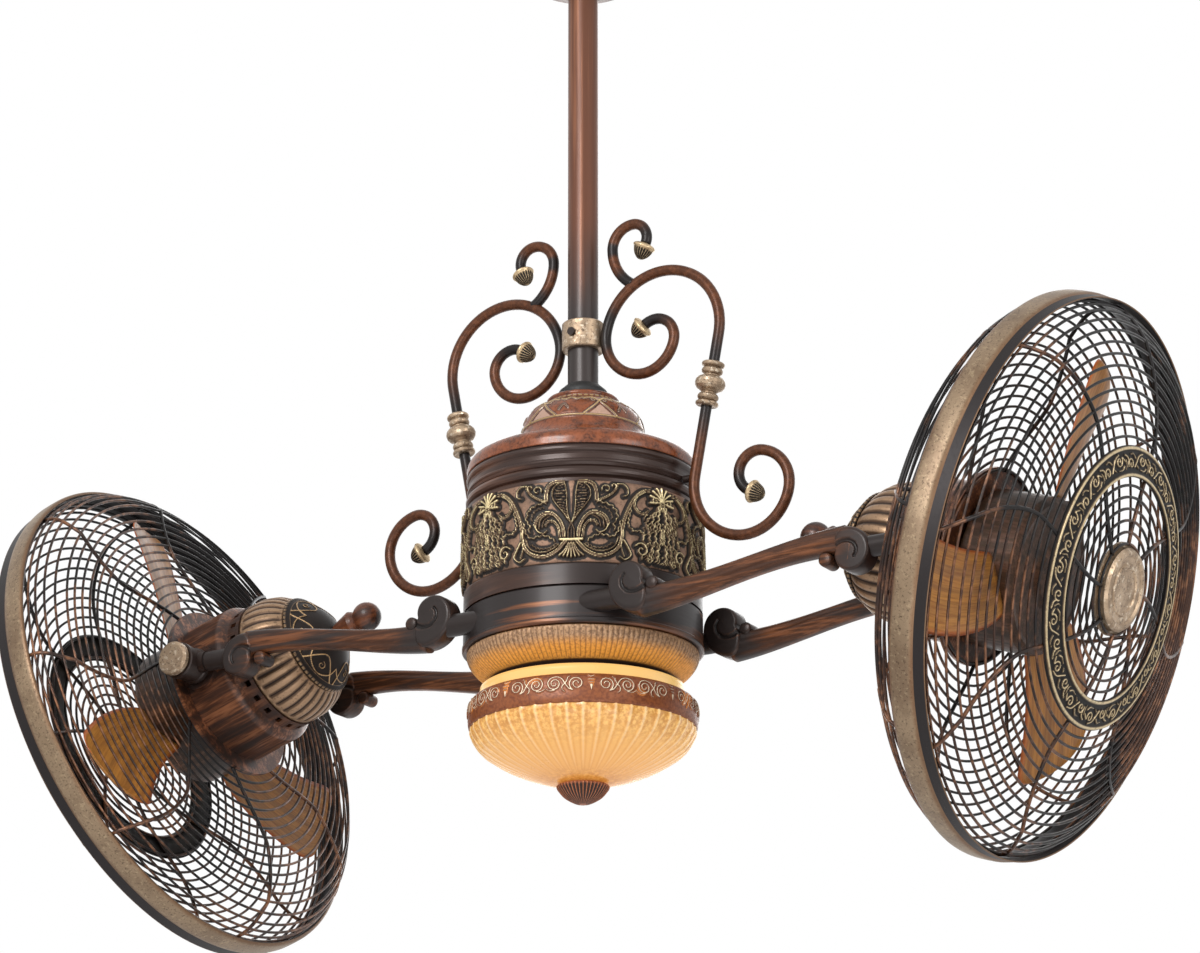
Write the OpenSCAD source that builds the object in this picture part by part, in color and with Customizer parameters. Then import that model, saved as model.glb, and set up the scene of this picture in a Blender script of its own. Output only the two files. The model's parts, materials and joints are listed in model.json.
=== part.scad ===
// Twin head ceiling fan: two caged fan heads on a turning ring below a hanging body.
// Millimetres, +Z up. The origin is on the ceiling plane, on the axis of the rod.

/* [Ceiling end] */
// Outside diameter of the canopy against the ceiling
canopy_d = 136; // [126:1:150]
// Height of the canopy
canopy_h = 62; // [56:1:70]
// Distance between the two ceiling screws
box_screw_gap = 88.9; // [80:0.1:92]
// Outside diameter of the rod
rod_d = 26.7; // [24:0.1:28]
// Drop from the ceiling to the top of the body cap
cap_drop = 452; // [440:1:480]

/* [Body] */
// Outside radius of the plain body rings
body_r = 101.5; // [99:0.5:104]
// Height of the domed cap
cap_h = 75; // [72:1:80]
// Height of the moulded crown
crown_h = 34; // [32:1:38]
// Height of the ornamented band
band_h = 70.5; // [66:0.5:76]
// Height of the plain ring below the ornamented band
base_h = 18.5; // [16:0.5:22]
// Height of the turning ring that carries the arms
ring_h = 32.5; // [31:0.5:34]
// Wall thickness of the body shells
wall = 3; // [2.5:0.1:3.5]

/* [Light] */
// Height of the ribbed pan above the glass
pan_h = 25; // [23:1:28]
// Greatest radius of the glass bowl
glass_r = 95.5; // [93:0.5:97]
// Depth of the glass bowl from its rim to its foot
glass_h = 82; // [80:1:88]
// Thickness of the glass
glass_t = 3; // [2.5:0.1:3.5]

/* [Scrolls] */
// Diameter of the scroll rod
scroll_d = 9.5; // [8.5:0.1:10]
// Outside diameter of the clamp that holds the scrolls to the rod
clamp_d = 36.8; // [35:0.1:38]
// Height of that clamp
clamp_h = 25; // [20:1:28]

/* [Arms] */
// Direction of the right head and the scrolls, clockwise from +X
head_az = 31.2; // [25:0.1:38]
// Distance of each arm's mid plane from the plane of the head's axis
arm_gap = 79; // [78:0.5:82]
// Thickness of an arm, across its plane
arm_t = 18; // [15:0.5:20]
// Distance from the rod's axis to the tilt axis of a head
pivot_u = 356; // [350:1:362]
// Height of the tilt axis above the axis of the arm sockets
pivot_rise = 6; // [3:0.5:8]

/* [Heads] */
// Downward tilt of a head at rest, in degrees
tilt = 18; // [12:0.5:20]
// Outside radius of the cage band
cage_r = 226; // [218:1:228]
// Outside radius of the motor housing
motor_r = 65.5; // [63:0.5:66]
// Distance between neighbouring wires of a grille
wire_pitch = 8.4; // [8:0.1:10]
// Diameter of the ring wires
wire_d = 2.4; // [2:0.1:2.8]
// Thickness of the ribs that the ring wires pass through
rib_t = 3.2; // [3:0.1:3.6]
// Number of ribs in each grille
ribs = 8; // [6:1:10]

/* [Blades] */
// Radius of the blade tips
blade_r = 186; // [175:1:188]
// Chord of a blade at its tip
blade_chord = 84; // [78:1:88]
// Pitch of a blade at its root, in degrees
blade_pitch = 19; // [16:1:22]

/* [Hidden] */

$fn = 64;
fit = 0.05;          // radial play of a shaft in its bore
seam = 0.6;          // gap between the turning ring and the fixed pieces
RIGHT = 0;
LEFT = 180;
NEAR = -1;
FAR = 1;

// Heights, all measured down from the ceiling
z_cap = -cap_drop;
z_crown = z_cap - cap_h;
z_band = z_crown - crown_h;
z_base = z_band - band_h;
z_ring = z_base - base_h - seam;
z_pan = z_ring - ring_h - seam;
z_glass = z_pan - pan_h - 5;
z_foot = z_glass - glass_h;
z_socket = z_ring - ring_h / 2 + 2;
z_pivot = z_socket + pivot_rise;
z_clamp = z_cap + 55;

// Radii
rod_r = rod_d / 2;
shaft_r = 15;
stem_r = 5;
bearing_r = 26;
hub_r = 32;
scroll_r = scroll_d / 2;
clamp_r = clamp_d / 2;
stub_r = 9.5;
trunnion_r = 9;
barrel_r = 16;
barrel_in = arm_gap - 9.5;
barrel_out = arm_gap + 18;

// ---------- shared shapes ----------

// A turned piece: its profile is a list of [radius, height] points.
module turned(profile) {
    rotate_extrude() polygon(profile);
}

// Points of an arc about [cx, cy], from angle a0 to a1.
function arc(cx, cy, r, a0, a1, n = 6) =
    [for (i = [0 : n]) let (a = a0 + (a1 - a0) * i / n) [cx + r * cos(a), cy + r * sin(a)]];

// A closed body through rings of points, each ring with the same even number of points.
module loft(rings) {
    count = len(rings[0]);
    last = len(rings) - 1;
    points = [for (ring = rings) for (p = ring) p];
    sides = [for (i = [0 : last - 1], j = [0 : count - 1])
        let (k = (j + 1) % count)
        each [[i * count + j, i * count + k, (i + 1) * count + k],
              [i * count + j, (i + 1) * count + k, (i + 1) * count + j]]];
    // Each end is closed by a ladder of triangles between its first and its last points
    start = [for (j = [0 : count / 2 - 2]) each [[j + 1, j, count - 1 - j], [j + 1, count - 1 - j, count - 2 - j]]];
    finish = [for (f = start) [for (j = [2 : -1 : 0]) last * count + f[j]]];
    polyhedron(points, concat(sides, start, finish), convexity = 6);
}

// Carries its children to one side: RIGHT or LEFT.
module side(az) {
    rotate([0, 0, az - head_az]) children();
}

// The frame of a head: +Z out along the fan's axis, +Y along the tilt axis.
module head(az) {
    side(az) translate([pivot_u, 0, z_pivot]) rotate([0, 90 + tilt, 0]) children();
}

// ---------- ceiling end ----------

bracket_gap = 37;        // half the distance between the bracket's legs
bracket_w = 44;
seat_z = -40;
seat_r = 19;
ball_r = 24;
ball_z = seat_z + sqrt(ball_r * ball_r - seat_r * seat_r);
canopy_r = canopy_d / 2;
tab_x = canopy_r - wall - 2;

module ceiling_bracket() {
    color("silver") difference() {
        union() {
            intersection() {
                translate([-tab_x, -bracket_w / 2, -3]) cube([2 * tab_x, bracket_w, 3]);
                translate([0, 0, -4]) cylinder(r = canopy_r - wall - 0.5, h = 5);
            }
            for (s = [-1, 1]) {
                translate([s * bracket_gap - 1.5, -bracket_w / 2, seat_z - 4])
                    cube([3, bracket_w, -seat_z + 2]);
                translate([s > 0 ? tab_x - 2 : -tab_x, -8, -18]) cube([2, 16, 16]);
            }
            translate([-bracket_gap, -bracket_w / 2, seat_z - 4])
                cube([2 * bracket_gap, bracket_w, 4]);
        }
        for (s = [-1, 1]) {
            translate([s * box_screw_gap / 2, 0, -10]) cylinder(r = 2.6, h = 20);
            translate([s * tab_x, 0, -11]) rotate([0, 90, 0]) cylinder(r = 1.9, h = 8, center = true);
        }
        translate([0, 0, seat_z - 10]) cylinder(r = seat_r, h = 20);
        translate([-rod_r - 1.5, -bracket_w, seat_z - 10]) cube([rod_d + 3, bracket_w, 20]);
    }
}

module canopy() {
    neck_r = rod_r + 3;
    color("#3a2218") difference() {
        turned(concat(
            [[canopy_r - wall, -1.5], [canopy_r, -1.5], [canopy_r, -20], [canopy_r - 3, -23]],
            [[canopy_r - 3, -27]],
            arc(canopy_r - 34, -27, 29, 0, -62),
            [[neck_r + 8, -canopy_h + 5], [neck_r + 8, -canopy_h], [neck_r, -canopy_h]],
            [[neck_r, -canopy_h + 6]],
            arc(canopy_r - 34, -27, 29 - wall, -66, 0),
            [[canopy_r - wall - 3, -22], [canopy_r - wall, -18]]));
        for (s = [-1, 1])
            translate([s * canopy_r, 0, -11]) rotate([0, 90, 0]) cylinder(r = 2.2, h = 20, center = true);
    }
}

// A round-headed screw that points along +Z, its head below the origin.
module screw(r, length, head_r) {
    cylinder(r = r, h = length);
    translate([0, 0, -head_r * 0.7]) cylinder(r = head_r, h = head_r * 0.7);
}

module ceiling_screws() {
    color("#6b5a45") {
        for (s = [-1, 1])
            translate([s * (canopy_r + 0.1), 0, -11]) rotate([0, -90 * s, 0]) screw(1.85, 9, 4);
    }
}

module hanger_ball() {
    color("#2b2420") {
        difference() {
            translate([0, 0, ball_z]) sphere(r = ball_r);
            translate([0, 0, ball_z + 10]) cylinder(r = ball_r + 1, h = ball_r);
            translate([0, 0, ball_z - ball_r - 1]) cylinder(r = rod_r + fit, h = 2 * ball_r + 2);
            translate([0, 0, ball_z + 2]) rotate([0, 90, 0])
                cylinder(r = 3 + fit, h = 3 * ball_r, center = true);
        }
        // The cross pin that hangs the rod in the ball
        translate([0, 0, ball_z + 2]) rotate([0, 90, 0]) cylinder(r = 3, h = 40, center = true);
    }
}

rod_top = ball_z + 12;
rod_foot = z_cap - 30;
shaft_top = rod_foot - 6;

module downrod() {
    color("#5a3020") difference() {
        translate([0, 0, rod_foot]) cylinder(r = rod_r, h = rod_top - rod_foot);
        translate([0, 0, rod_foot - 1]) cylinder(r = rod_r - 2, h = rod_top - rod_foot + 2);
        for (z = [ball_z + 2, rod_foot + 12])
            translate([0, 0, z]) rotate([0, 90, 0]) cylinder(r = 3 + fit, h = 3 * rod_d, center = true);
    }
}

// ---------- scrolls ----------

// The scroll's path lies in the plane of [distance from the axis, height above z_crown].
// Each step is [radius, turn]: left turns are positive, and a radius of 0 is a straight run.
// Every turn but the last of a run is a quarter turn.
bow = (body_r + 10.5) / 2;              // the two large bows carry the leg clear of the body
OUTER_RUN = [[bow, -90], [bow + 1, -90], [0, 126], [50, 90], [42, 90], [32, 90], [18, 165]];
INNER_RUN = [[38, 90], [31.5, 90], [18.5, 134]];
UPPER_RUN = [[20, -90], [14.5, -115]];
LEG_RUN = [[42, 60]];
lean = 11.2;                            // the main scroll leans outward at its top
clamp_u = clamp_r + scroll_r;           // where the scroll touches the clamp
clamp_v = z_clamp - z_crown;
main_at = [clamp_u + INNER_RUN[0][0] * (1 - cos(lean)), clamp_v + 1];
upper_at = [clamp_u + 7, clamp_v + 76]; // the innermost point of the upper curl

// One step on from the place p = [u, v, heading].
function step(p, s) = s[0] == 0
    ? [p[0] + s[1] * cos(p[2]), p[1] + s[1] * sin(p[2]), p[2]]
    : let (k = s[1] > 0 ? 1 : -1, cu = p[0] - k * s[0] * sin(p[2]), cv = p[1] + k * s[0] * cos(p[2]),
           h = p[2] + s[1])
      [cu + k * s[0] * sin(h), cv - k * s[0] * cos(h), h];
function walk(p, run, i = 0) = i == len(run) ? [p] : concat([p], walk(step(p, run[i]), run, i + 1));

// One step of the rod itself: a bent or a straight length of round bar.
module rod_step(p, s) {
    if (s[0] == 0)
        translate([p[0], p[1], 0]) rotate([0, 90, p[2]]) cylinder(r = scroll_r, h = s[1]);
    else
        translate([p[0], p[1], 0]) rotate([0, 0, p[2] - 90]) mirror([s[1] > 0 ? 0 : 1, 0, 0])
            translate([-s[0], 0, 0]) rotate_extrude(angle = abs(s[1]))
                translate([s[0], 0]) circle(r = scroll_r);
}

module rod_run(start, run) {
    places = walk(start, run);
    for (i = [0 : len(run) - 1]) rod_step(places[i], run[i]);
}

UP = [0, 0, 90];
DOWN = [0, 0, -90];

// Takes the scroll's plane to the world, on the side az.
module scroll_plane(az) {
    side(az) translate([0, 0, z_crown]) rotate([90, 0, 0]) children();
}

module main_frame() {
    translate([main_at[0], main_at[1], 0]) rotate([0, 0, -lean]) children();
}

module scroll(az) {
    color("#33231c") scroll_plane(az) {
        main_frame() {
            rod_run(UP, OUTER_RUN);
            rod_run(DOWN, INNER_RUN);
        }
        translate([upper_at[0], upper_at[1], 0]) {
            rod_run(UP, UPPER_RUN);
            rod_run(DOWN, LEG_RUN);
        }
    }
}

module scroll_right() { scroll(RIGHT); }
module scroll_left() { scroll(LEFT); }

outer_path = walk(UP, OUTER_RUN);
inner_path = walk(DOWN, INNER_RUN);
upper_path = walk(UP, UPPER_RUN);
straight = 2;            // the step of the outer run that is straight
fitting_from = 26;       // where the turned fitting starts on that straight
fitting_len = 39;

// The turned fitting that is threaded on the scroll's straight length
module scroll_fitting(az) {
    p = outer_path[straight];
    bore = scroll_r + fit;
    scroll_plane(az) main_frame() translate([p[0], p[1] - fitting_from, 0]) rotate([90, 0, 0])
        turned(concat(
            [[bore, 0], [scroll_r + 3, 0]], arc(scroll_r + 3, 2.2, 2.2, -90, 90),
            [[scroll_r + 2.2, 5]], arc(scroll_r + 1.2, 8, 3.2, -80, 80),
            [[scroll_r + 1.6, 12]], arc(scroll_r + 2, 19, 6.4, -75, 75),
            [[scroll_r + 1.6, 27]], arc(scroll_r + 1.2, 31, 3.2, -80, 80),
            [[scroll_r + 2.2, 34.6]], arc(scroll_r + 3, 36.8, 2.2, -90, 90),
            [[bore, fitting_len]]));
}

module scroll_fittings() {
    color("#b9a88c") {
        scroll_fitting(RIGHT);
        scroll_fitting(LEFT);
    }
}

// A half ball with a rim, which closes the end of a scroll
module scroll_finial(end) {
    translate([end[0], end[1], 0]) rotate([0, 90, end[2]])
        turned(concat(
            [[0, 0], [scroll_r, 0], [scroll_r, 1], [8, 1.6], [9.4, 2.6], [9.4, 4]],
            arc(0, 4.6, 8.8, 0, 80, 7), [[1.6, 14.6], [0, 14.8]]));
}

module scroll_finials() {
    color("#8f7f62") for (az = [RIGHT, LEFT]) scroll_plane(az) {
        main_frame() {
            scroll_finial(outer_path[len(OUTER_RUN)]);
            scroll_finial(inner_path[len(INNER_RUN)]);
        }
        translate([upper_at[0], upper_at[1], 0]) scroll_finial(upper_path[len(UPPER_RUN)]);
    }
}

module scroll_clamp() {
    color("#b9a88c") difference() {
        translate([0, 0, z_clamp]) rotate_extrude() polygon([
            [rod_r, -clamp_h / 2], [clamp_r - 0.8, -clamp_h / 2], [clamp_r, -clamp_h / 2 + 1],
            [clamp_r, clamp_h / 2 - 1], [clamp_r - 0.8, clamp_h / 2], [rod_r, clamp_h / 2]]);
        side(RIGHT) translate([0, 0, z_clamp]) rotate([90, 0, 0])
            cylinder(r = 1.9, h = 3 * clamp_r, center = true);
    }
}

lug_drop = 17;           // how far below the crown's top a scroll is screwed to it
lug_from = body_r - 2;

// The short stud between the crown and a scroll, hollowed to the round of the rod
module scroll_lug(az) {
    difference() {
        side(az) translate([lug_from, 0, z_crown - lug_drop]) rotate([0, 90, 0])
            cylinder(r = 3.2, h = 14);
        scroll_plane(az) main_frame() translate([outer_path[straight][0], -140, 0]) {
            rotate([-90, 0, 0]) cylinder(r = scroll_r + 0.1, h = 40);
            translate([0, -10, -20]) cube([40, 60, 40]);
        }
    }
}

module scroll_screws() {
    color("#4a3c30") {
        // Two screws in the clamp, at right angles to the scrolls
        for (s = [RIGHT, LEFT])
            side(s) translate([0, clamp_r + 0.05, z_clamp]) rotate([90, 0, 0]) screw(1.85, 4, 3.6);
        for (s = [RIGHT, LEFT]) scroll_lug(s);
    }
}

// ---------- body ----------

boot_h = 9;

module rod_boot() {
    color("#151515") translate([0, 0, z_cap]) turned(concat(
        [[rod_r + fit, 0], [21.5, 0], [21.5, 2]], arc(17, 2, 4.5, 0, 60), [[rod_r + 1.5, boot_h + 1]],
        [[rod_r + fit, boot_h + 1]]));
}

cap_nose_r = body_r - 2;
cap_hole_r = rod_r + 6.5;

// The cap from its top down: a bead, a bell, a hollow flare and a round nose.
module cap() {
    nose_z = 7 - cap_h;
    color("#5a2a18") translate([0, 0, z_cap]) turned(concat(
        [[cap_hole_r, 0], [21.5, 0], [26, -2.2]], arc(28.6, -5, 2.9, 120, -25, 6),
        arc(33, -29, 19, 88, 0, 7), arc(84, -26, 32, 200, 262, 7), arc(cap_nose_r - 11, nose_z, 11, 76, 0, 5),
        [[cap_nose_r, -cap_h], [cap_nose_r - wall, -cap_h]],
        arc(cap_nose_r - 11, nose_z, 11 - wall, 0, 76, 4), arc(84, -26, 32 + wall, 262, 200, 5),
        arc(33, -29, 19 - wall, 0, 70, 5), [[cap_hole_r, -12]]));
}

plate_t = 4;             // thickness of the plates that cross the body

module coupling() {
    foot = z_crown;
    color("#8a8a8a") {
        difference() {
            union() {
                translate([0, 0, foot]) cylinder(r = rod_r + 6, h = z_cap - 4 - foot);
                translate([0, 0, foot]) cylinder(r = 42, h = 6);
            }
            translate([0, 0, rod_foot - 2]) cylinder(r = rod_r + fit, h = 100);
            translate([0, 0, foot - 1]) cylinder(r = shaft_r + fit, h = shaft_top - foot + 1);
            translate([0, 0, shaft_top - 1]) cylinder(r = shaft_r - 4, h = 20);
            translate([0, 0, rod_foot + 12]) rotate([0, 90, 0])
                cylinder(r = 3 + fit, h = 60, center = true);
        }
        translate([0, 0, rod_foot + 12]) rotate([0, 90, 0]) cylinder(r = 3, h = 44, center = true);
    }
}

module crown() {
    inner = body_r - 10;
    color("#2f211d") translate([0, 0, z_crown]) difference() {
        turned(concat(
            [[shaft_r + fit, 0], [body_r - 3, 0]], arc(body_r - 5.5, -4, 4, 60, -60, 5),
            [[body_r - 4, -9], [body_r - 4, -13]], arc(body_r - 4, -15, 1.8, 80, -60, 4),
            [[body_r - 4, -18.5], [body_r - 3, -19.5]], arc(body_r - 6, -24, 5, 60, -70, 5),
            [[body_r - 3.4, -30], [body_r - 1.5, -31], [body_r - 1.5, -crown_h]],
            [[inner, -crown_h], [inner, -plate_t], [shaft_r + fit, -plate_t]]));
        for (a = [45 : 90 : 359]) rotate([0, 0, a]) translate([32, 0, -10]) cylinder(r = 2.1, h = 20);
    }
}

module ornate_band() {
    color("#6b5533") translate([0, 0, z_base]) turned(
        [[body_r - 4, 0], [body_r - 1, 0], [body_r + 0.5, 2],
        [body_r + 1.6, band_h * 0.3], [body_r + 1.8, band_h * 0.5], [body_r + 1.4, band_h * 0.75],
        [body_r + 0.2, band_h - 3], [body_r - 1.5, band_h], [body_r - 4, band_h]]);
}

rotor_r = 38;            // the tube that turns inside the drive

module base_ring() {
    color("#2b2220") translate([0, 0, z_base]) difference() {
        turned(concat(
            [[rotor_r + 4, -base_h], [body_r, -base_h], [body_r, -2]], arc(body_r - 2, -2, 2, 0, 90, 4),
            [[body_r - wall, 0], [body_r - wall, -base_h + plate_t], [rotor_r + 4, -base_h + plate_t]]));
        for (a = [0 : 120 : 359]) rotate([0, 0, a]) translate([62, 0, -base_h - 5])
            cylinder(r = 2.1, h = 20);
    }
}

collar_z = z_pan + 0.3;

// The hollow shaft that the ring turns on; its stem carries the light.
module centre_shaft() {
    color("#9a9a9a") difference() {
        union() {
            translate([0, 0, collar_z - 4]) cylinder(r = shaft_r, h = shaft_top - collar_z + 4);
            translate([0, 0, collar_z - 4]) cylinder(r = shaft_r + 4, h = 4);
            translate([0, 0, z_glass + 6]) cylinder(r = shaft_r - 2, h = collar_z - z_glass - 6);
            translate([0, 0, z_foot - 12]) cylinder(r = stem_r, h = z_glass - z_foot + 20);
        }
        translate([0, 0, z_glass + 10]) cylinder(r = shaft_r - 4, h = shaft_top - z_glass);
        translate([0, 0, z_foot - 14]) cylinder(r = 2.5, h = z_glass - z_foot + 40);
    }
}

stator_h = 34;

module drive_stator() {
    z = z_base - base_h + plate_t;
    color("#7a3b1e") translate([0, 0, z]) difference() {
        union() {
            translate([0, 0, 2]) cylinder(r = 74, h = stator_h);
            cylinder(r = 68, h = 3);
        }
        translate([0, 0, -1]) cylinder(r = rotor_r + 1, h = stator_h + 10);
        for (a = [15 : 30 : 359]) rotate([0, 0, a]) translate([rotor_r, -2, 6])
            cube([26, 4, stator_h]);
    }
}

// ---------- light ----------

pan_r = body_r - 3;
neck_r = 77;
rim_r = glass_r - 9;     // the glass at its rim

module light_pan() {
    color("#a58a5c") translate([0, 0, z_pan]) difference() {
        turned(concat(
            [[shaft_r - 2 + fit, -pan_h + plate_t - 1], [neck_r - 8, -pan_h + plate_t - 1]],
            [[pan_r - 13, -pan_h * 0.62], [pan_r - wall - 2, -6], [pan_r - wall, 0], [pan_r, 0]],
            [[pan_r + 0.5, -3]],
            arc(pan_r - 23, -4, 23, 0, -62, 6),
            [[neck_r + 3, -pan_h], [neck_r, -pan_h - 1], [neck_r, -pan_h - 3], [rim_r - 1, -pan_h - 3]],
            [[rim_r - 1, -pan_h - 5], [shaft_r - 2 + fit, -pan_h - 5]]));
        for (a = [30 : 120 : 359]) rotate([0, 0, a]) translate([lamp_u, 0, -pan_h - 10])
            cylinder(r = 5, h = 20);
    }
}

lamp_u = 46;
holder_r = 12;
holder_h = 26;

module lamp_holders() {
    color("#e8e2d2") for (a = [30 : 120 : 359]) rotate([0, 0, a]) translate([lamp_u, 0, z_glass])
        difference() {
            translate([0, 0, -holder_h]) cylinder(r = holder_r, h = holder_h);
            translate([0, 0, -holder_h - 1]) cylinder(r = 6 + fit, h = holder_h - 3);
        }
}

module bulbs() {
    color("#fff1c8") for (a = [30 : 120 : 359]) rotate([0, 0, a]) translate([lamp_u, 0, z_glass]) {
        translate([0, 0, -holder_h - 2]) cylinder(r = 6, h = 20);
        translate([0, 0, -holder_h - 4]) rotate([180, 0, 0]) turned(concat(
            [[0, -3.9], [8, -3.9], [12, 3]], arc(0, 12, 15.5, -10, 60, 6), [[4, 30], [0, 34]]));
    }
}

// The glass from its rim to its foot, drawn t inside the outer face
function glass_line(t) = concat(
    [[rim_r - t, 0], [rim_r + 1 - t, -5], [rim_r + 4 - t, -12]],
    [[glass_r - 2 - t, -27], [glass_r - t, -38]],
    [[glass_r - 0.8 - t, 42 - glass_h], [glass_r - 4 - t, 35 - glass_h + t * 0.3]],
    [[glass_r - 10 - t, 28 - glass_h + t * 0.5], [glass_r - 18 - t, 22 - glass_h + t * 0.8]],
    [[glass_r - 29, 15.5 - glass_h + t], [glass_r - 43, 9.5 - glass_h + t], [glass_r - 58, 4.5 - glass_h + t]],
    [[22, 1 - glass_h + t], [stem_r + 1, -glass_h + t]]);

module glass_shade() {
    inside = glass_line(glass_t);
    color("#f2b45e", 0.85) translate([0, 0, z_glass]) turned(concat(
        glass_line(0), [for (i = [len(inside) - 1 : -1 : 0]) inside[i]]));
}

module shade_band() {
    r = rim_r + 4;       // the glass at the band's top
    color("#7a4a2c") translate([0, 0, z_glass]) turned([
        [r + 0.3, -11.5], [r + 2.5, -10], [r + 5, -12], [glass_r + 1.5, -18], [glass_r + 1.8, -26],
        [glass_r + 1.6, -32], [glass_r + 0.6, -35], [glass_r - 0.4, -35.5], [glass_r - 1.6, -27]]);
}

module finial() {
    color("#3a231a") translate([0, 0, z_foot]) difference() {
        turned(concat(
            [[0, -0.2], [21, -0.2], [22, -1.6], [21, -3.2], [19.5, -4]],
            arc(0, 6.5, 22, -30, -78, 6), [[2.6, -16], [0, -16.6]]));
        translate([0, 0, -12.1]) cylinder(r = stem_r + fit, h = 20);
    }
}

// ---------- turning ring and arms ----------

socket_from = 42;        // how far in the arm's stub reaches

module turning_ring() {
    color("#3b2a24") difference() {
        union() {
            translate([0, 0, z_ring]) turned([
                [bearing_r, 0], [body_r - 1.5, 0], [body_r, -1.5], [body_r, -ring_h + 5],
                [body_r + 0.8, -ring_h + 4], [body_r + 0.8, -ring_h + 1.5], [body_r - 1, -ring_h],
                [body_r - 5, -ring_h], [body_r - 5, -plate_t], [hub_r, -plate_t], [hub_r, -ring_h],
                [bearing_r, -ring_h]]);
            // A boss behind each of the four arm sockets
            for (az = [RIGHT, LEFT], s = [NEAR, FAR])
                side(az) intersection() {
                    translate([socket_from - 4, s * arm_gap, z_socket]) rotate([0, 90, 0])
                        cylinder(r = stub_r + 4, h = 60);
                    translate([0, 0, z_ring - ring_h]) cylinder(r = body_r - 1, h = ring_h);
                }
        }
        for (az = [RIGHT, LEFT], s = [NEAR, FAR])
            side(az) translate([socket_from, s * arm_gap, z_socket]) rotate([0, 90, 0])
                cylinder(r = stub_r + fit, h = 80);
    }
}

bearing_h = 9;

module ring_bearings() {
    color("#b5b5b5") for (z = [z_ring - bearing_h - 1, z_ring - ring_h])
        translate([0, 0, z]) difference() {
            cylinder(r = bearing_r - 0.02, h = bearing_h);
            translate([0, 0, -1]) cylinder(r = shaft_r + fit, h = bearing_h + 2);
            // The groove between the two races
            translate([0, 0, bearing_h - 1]) difference() {
                cylinder(r = bearing_r - 3, h = 2);
                translate([0, 0, -1]) cylinder(r = shaft_r + 3, h = 4);
            }
        }
}

drive_rotor_h = 42;

module drive_rotor() {
    color("#555555") translate([0, 0, z_ring]) difference() {
        cylinder(r = rotor_r, h = drive_rotor_h);
        translate([0, 0, -1]) cylinder(r = rotor_r - 6, h = drive_rotor_h - 3);
        translate([0, 0, -2]) cylinder(r = shaft_r + 2, h = drive_rotor_h + 5);
    }
}

module slip_ring() {
    color("#b08d3c") translate([0, 0, z_ring + drive_rotor_h]) difference() {
        cylinder(r = 24, h = 34);
        translate([0, 0, -1]) cylinder(r = shaft_r + 2, h = 40);
        for (i = [0 : 3]) translate([0, 0, 6 + i * 7]) difference() {
            cylinder(r = 30, h = 3);
            translate([0, 0, -1]) cylinder(r = 22.5, h = 5);
        }
    }
}

// An arm lies in the plane of [distance out, height above the socket axis].
volute_in = [97, 13];                    // centre of the volute by the ring
volute_out = [pivot_u - 59, pivot_rise - 6];
ear_in = [117, 5.5];
ear_out = [volute_out[0] - 22, volute_out[1] - 1];

// The beam's centre line: a slow S between the two volutes.
beam_end = volute_out[0] - 6;
function beam_at(t) = let (e = t * t * (3 - 2 * t))
    [90 + (beam_end - 90) * t, -10.5 + (volute_out[1] + 14.5 + 10.5) * e + 3 * sin(180 * t)];
function beam_h(t) = 24 - 9 * sin(150 * t) + 3 * t;

// The beam's cross-section: broad flats with a raised ridge along each side.
function beam_ring(t) =
    let (c = beam_at(t), h = beam_h(t) / 2, w = arm_t / 2 - 1.4 * sin(180 * t),
         d = beam_at(t + 0.01) - beam_at(t - 0.01), a = atan2(d[1], d[0]))
    [for (q = [[-0.55, 1], [0.55, 1], [0.86, 0.7], [0.86, 0.34], [1, 0.26], [1, -0.26], [0.86, -0.34],
               [0.86, -0.7], [0.55, -1], [-0.55, -1], [-0.86, -0.7], [-0.86, -0.34], [-1, -0.26],
               [-1, 0.26], [-0.86, 0.34], [-0.86, 0.7]])
        [c[0] - q[1] * h * sin(a), q[0] * w, c[1] + q[1] * h * cos(a)]];

// A flat snail: its radius grows from r0 to r1 while it turns through sweep.
module snail(r0, r1, from, sweep, grow = 1.6) {
    polygon(concat([[0, 0]], [for (i = [0 : 28]) let (t = i / 28, a = from + sweep * t,
        r = r0 + (r1 - r0) * pow(t, grow)) r * [cos(a), sin(a)]]));
}

// Stands a flat drawing of the arm's plane upright, thickness t about the mid plane
module upright(t) {
    rotate([90, 0, 0]) linear_extrude(t, center = true) children();
}

module volute(at, r1, from, sweep) {
    translate([at[0], 0, at[1]]) {
        upright(arm_t) snail(11.5, r1, from, sweep);
        upright(arm_t + 3.4) circle(r = 10.6);
        upright(arm_t + 6) circle(r = 7.4);
    }
}

neck_r2 = 8.6;           // the round neck that enters the knuckle

module arm(az, s) {
    color("#4a2c1e") side(az) translate([0, s * arm_gap, z_socket]) {
        loft([for (i = [0 : 26]) beam_ring(i / 26)]);
        volute(volute_in, 31, 60, 225);
        volute(volute_out, 24, -120, 225);
        translate([ear_in[0], 0, ear_in[1]]) rotate([90, 0, 0])
            cylinder(r = 5.4, h = arm_t - 1, center = true);
        translate([ear_out[0], 0, ear_out[1]]) rotate([90, 0, 0])
            cylinder(r = 5.6, h = arm_t - 1, center = true);
        translate([socket_from + 1, 0, 0]) rotate([0, 90, 0]) cylinder(r = stub_r, h = 50);
        translate([volute_out[0], 0, pivot_rise]) rotate([0, 90, 0])
            cylinder(r = neck_r2, h = pivot_u - barrel_r - 4 - volute_out[0]);
    }
}

module arm_right_near() { arm(RIGHT, NEAR); }
module arm_right_far() { arm(RIGHT, FAR); }
module arm_left_near() { arm(LEFT, FAR); }
module arm_left_far() { arm(LEFT, NEAR); }

trunnion_end = barrel_in + 14;
pad_at = trunnion_end + 0.2;
knob_r = 15;
knob_gap = 0.4;

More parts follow.
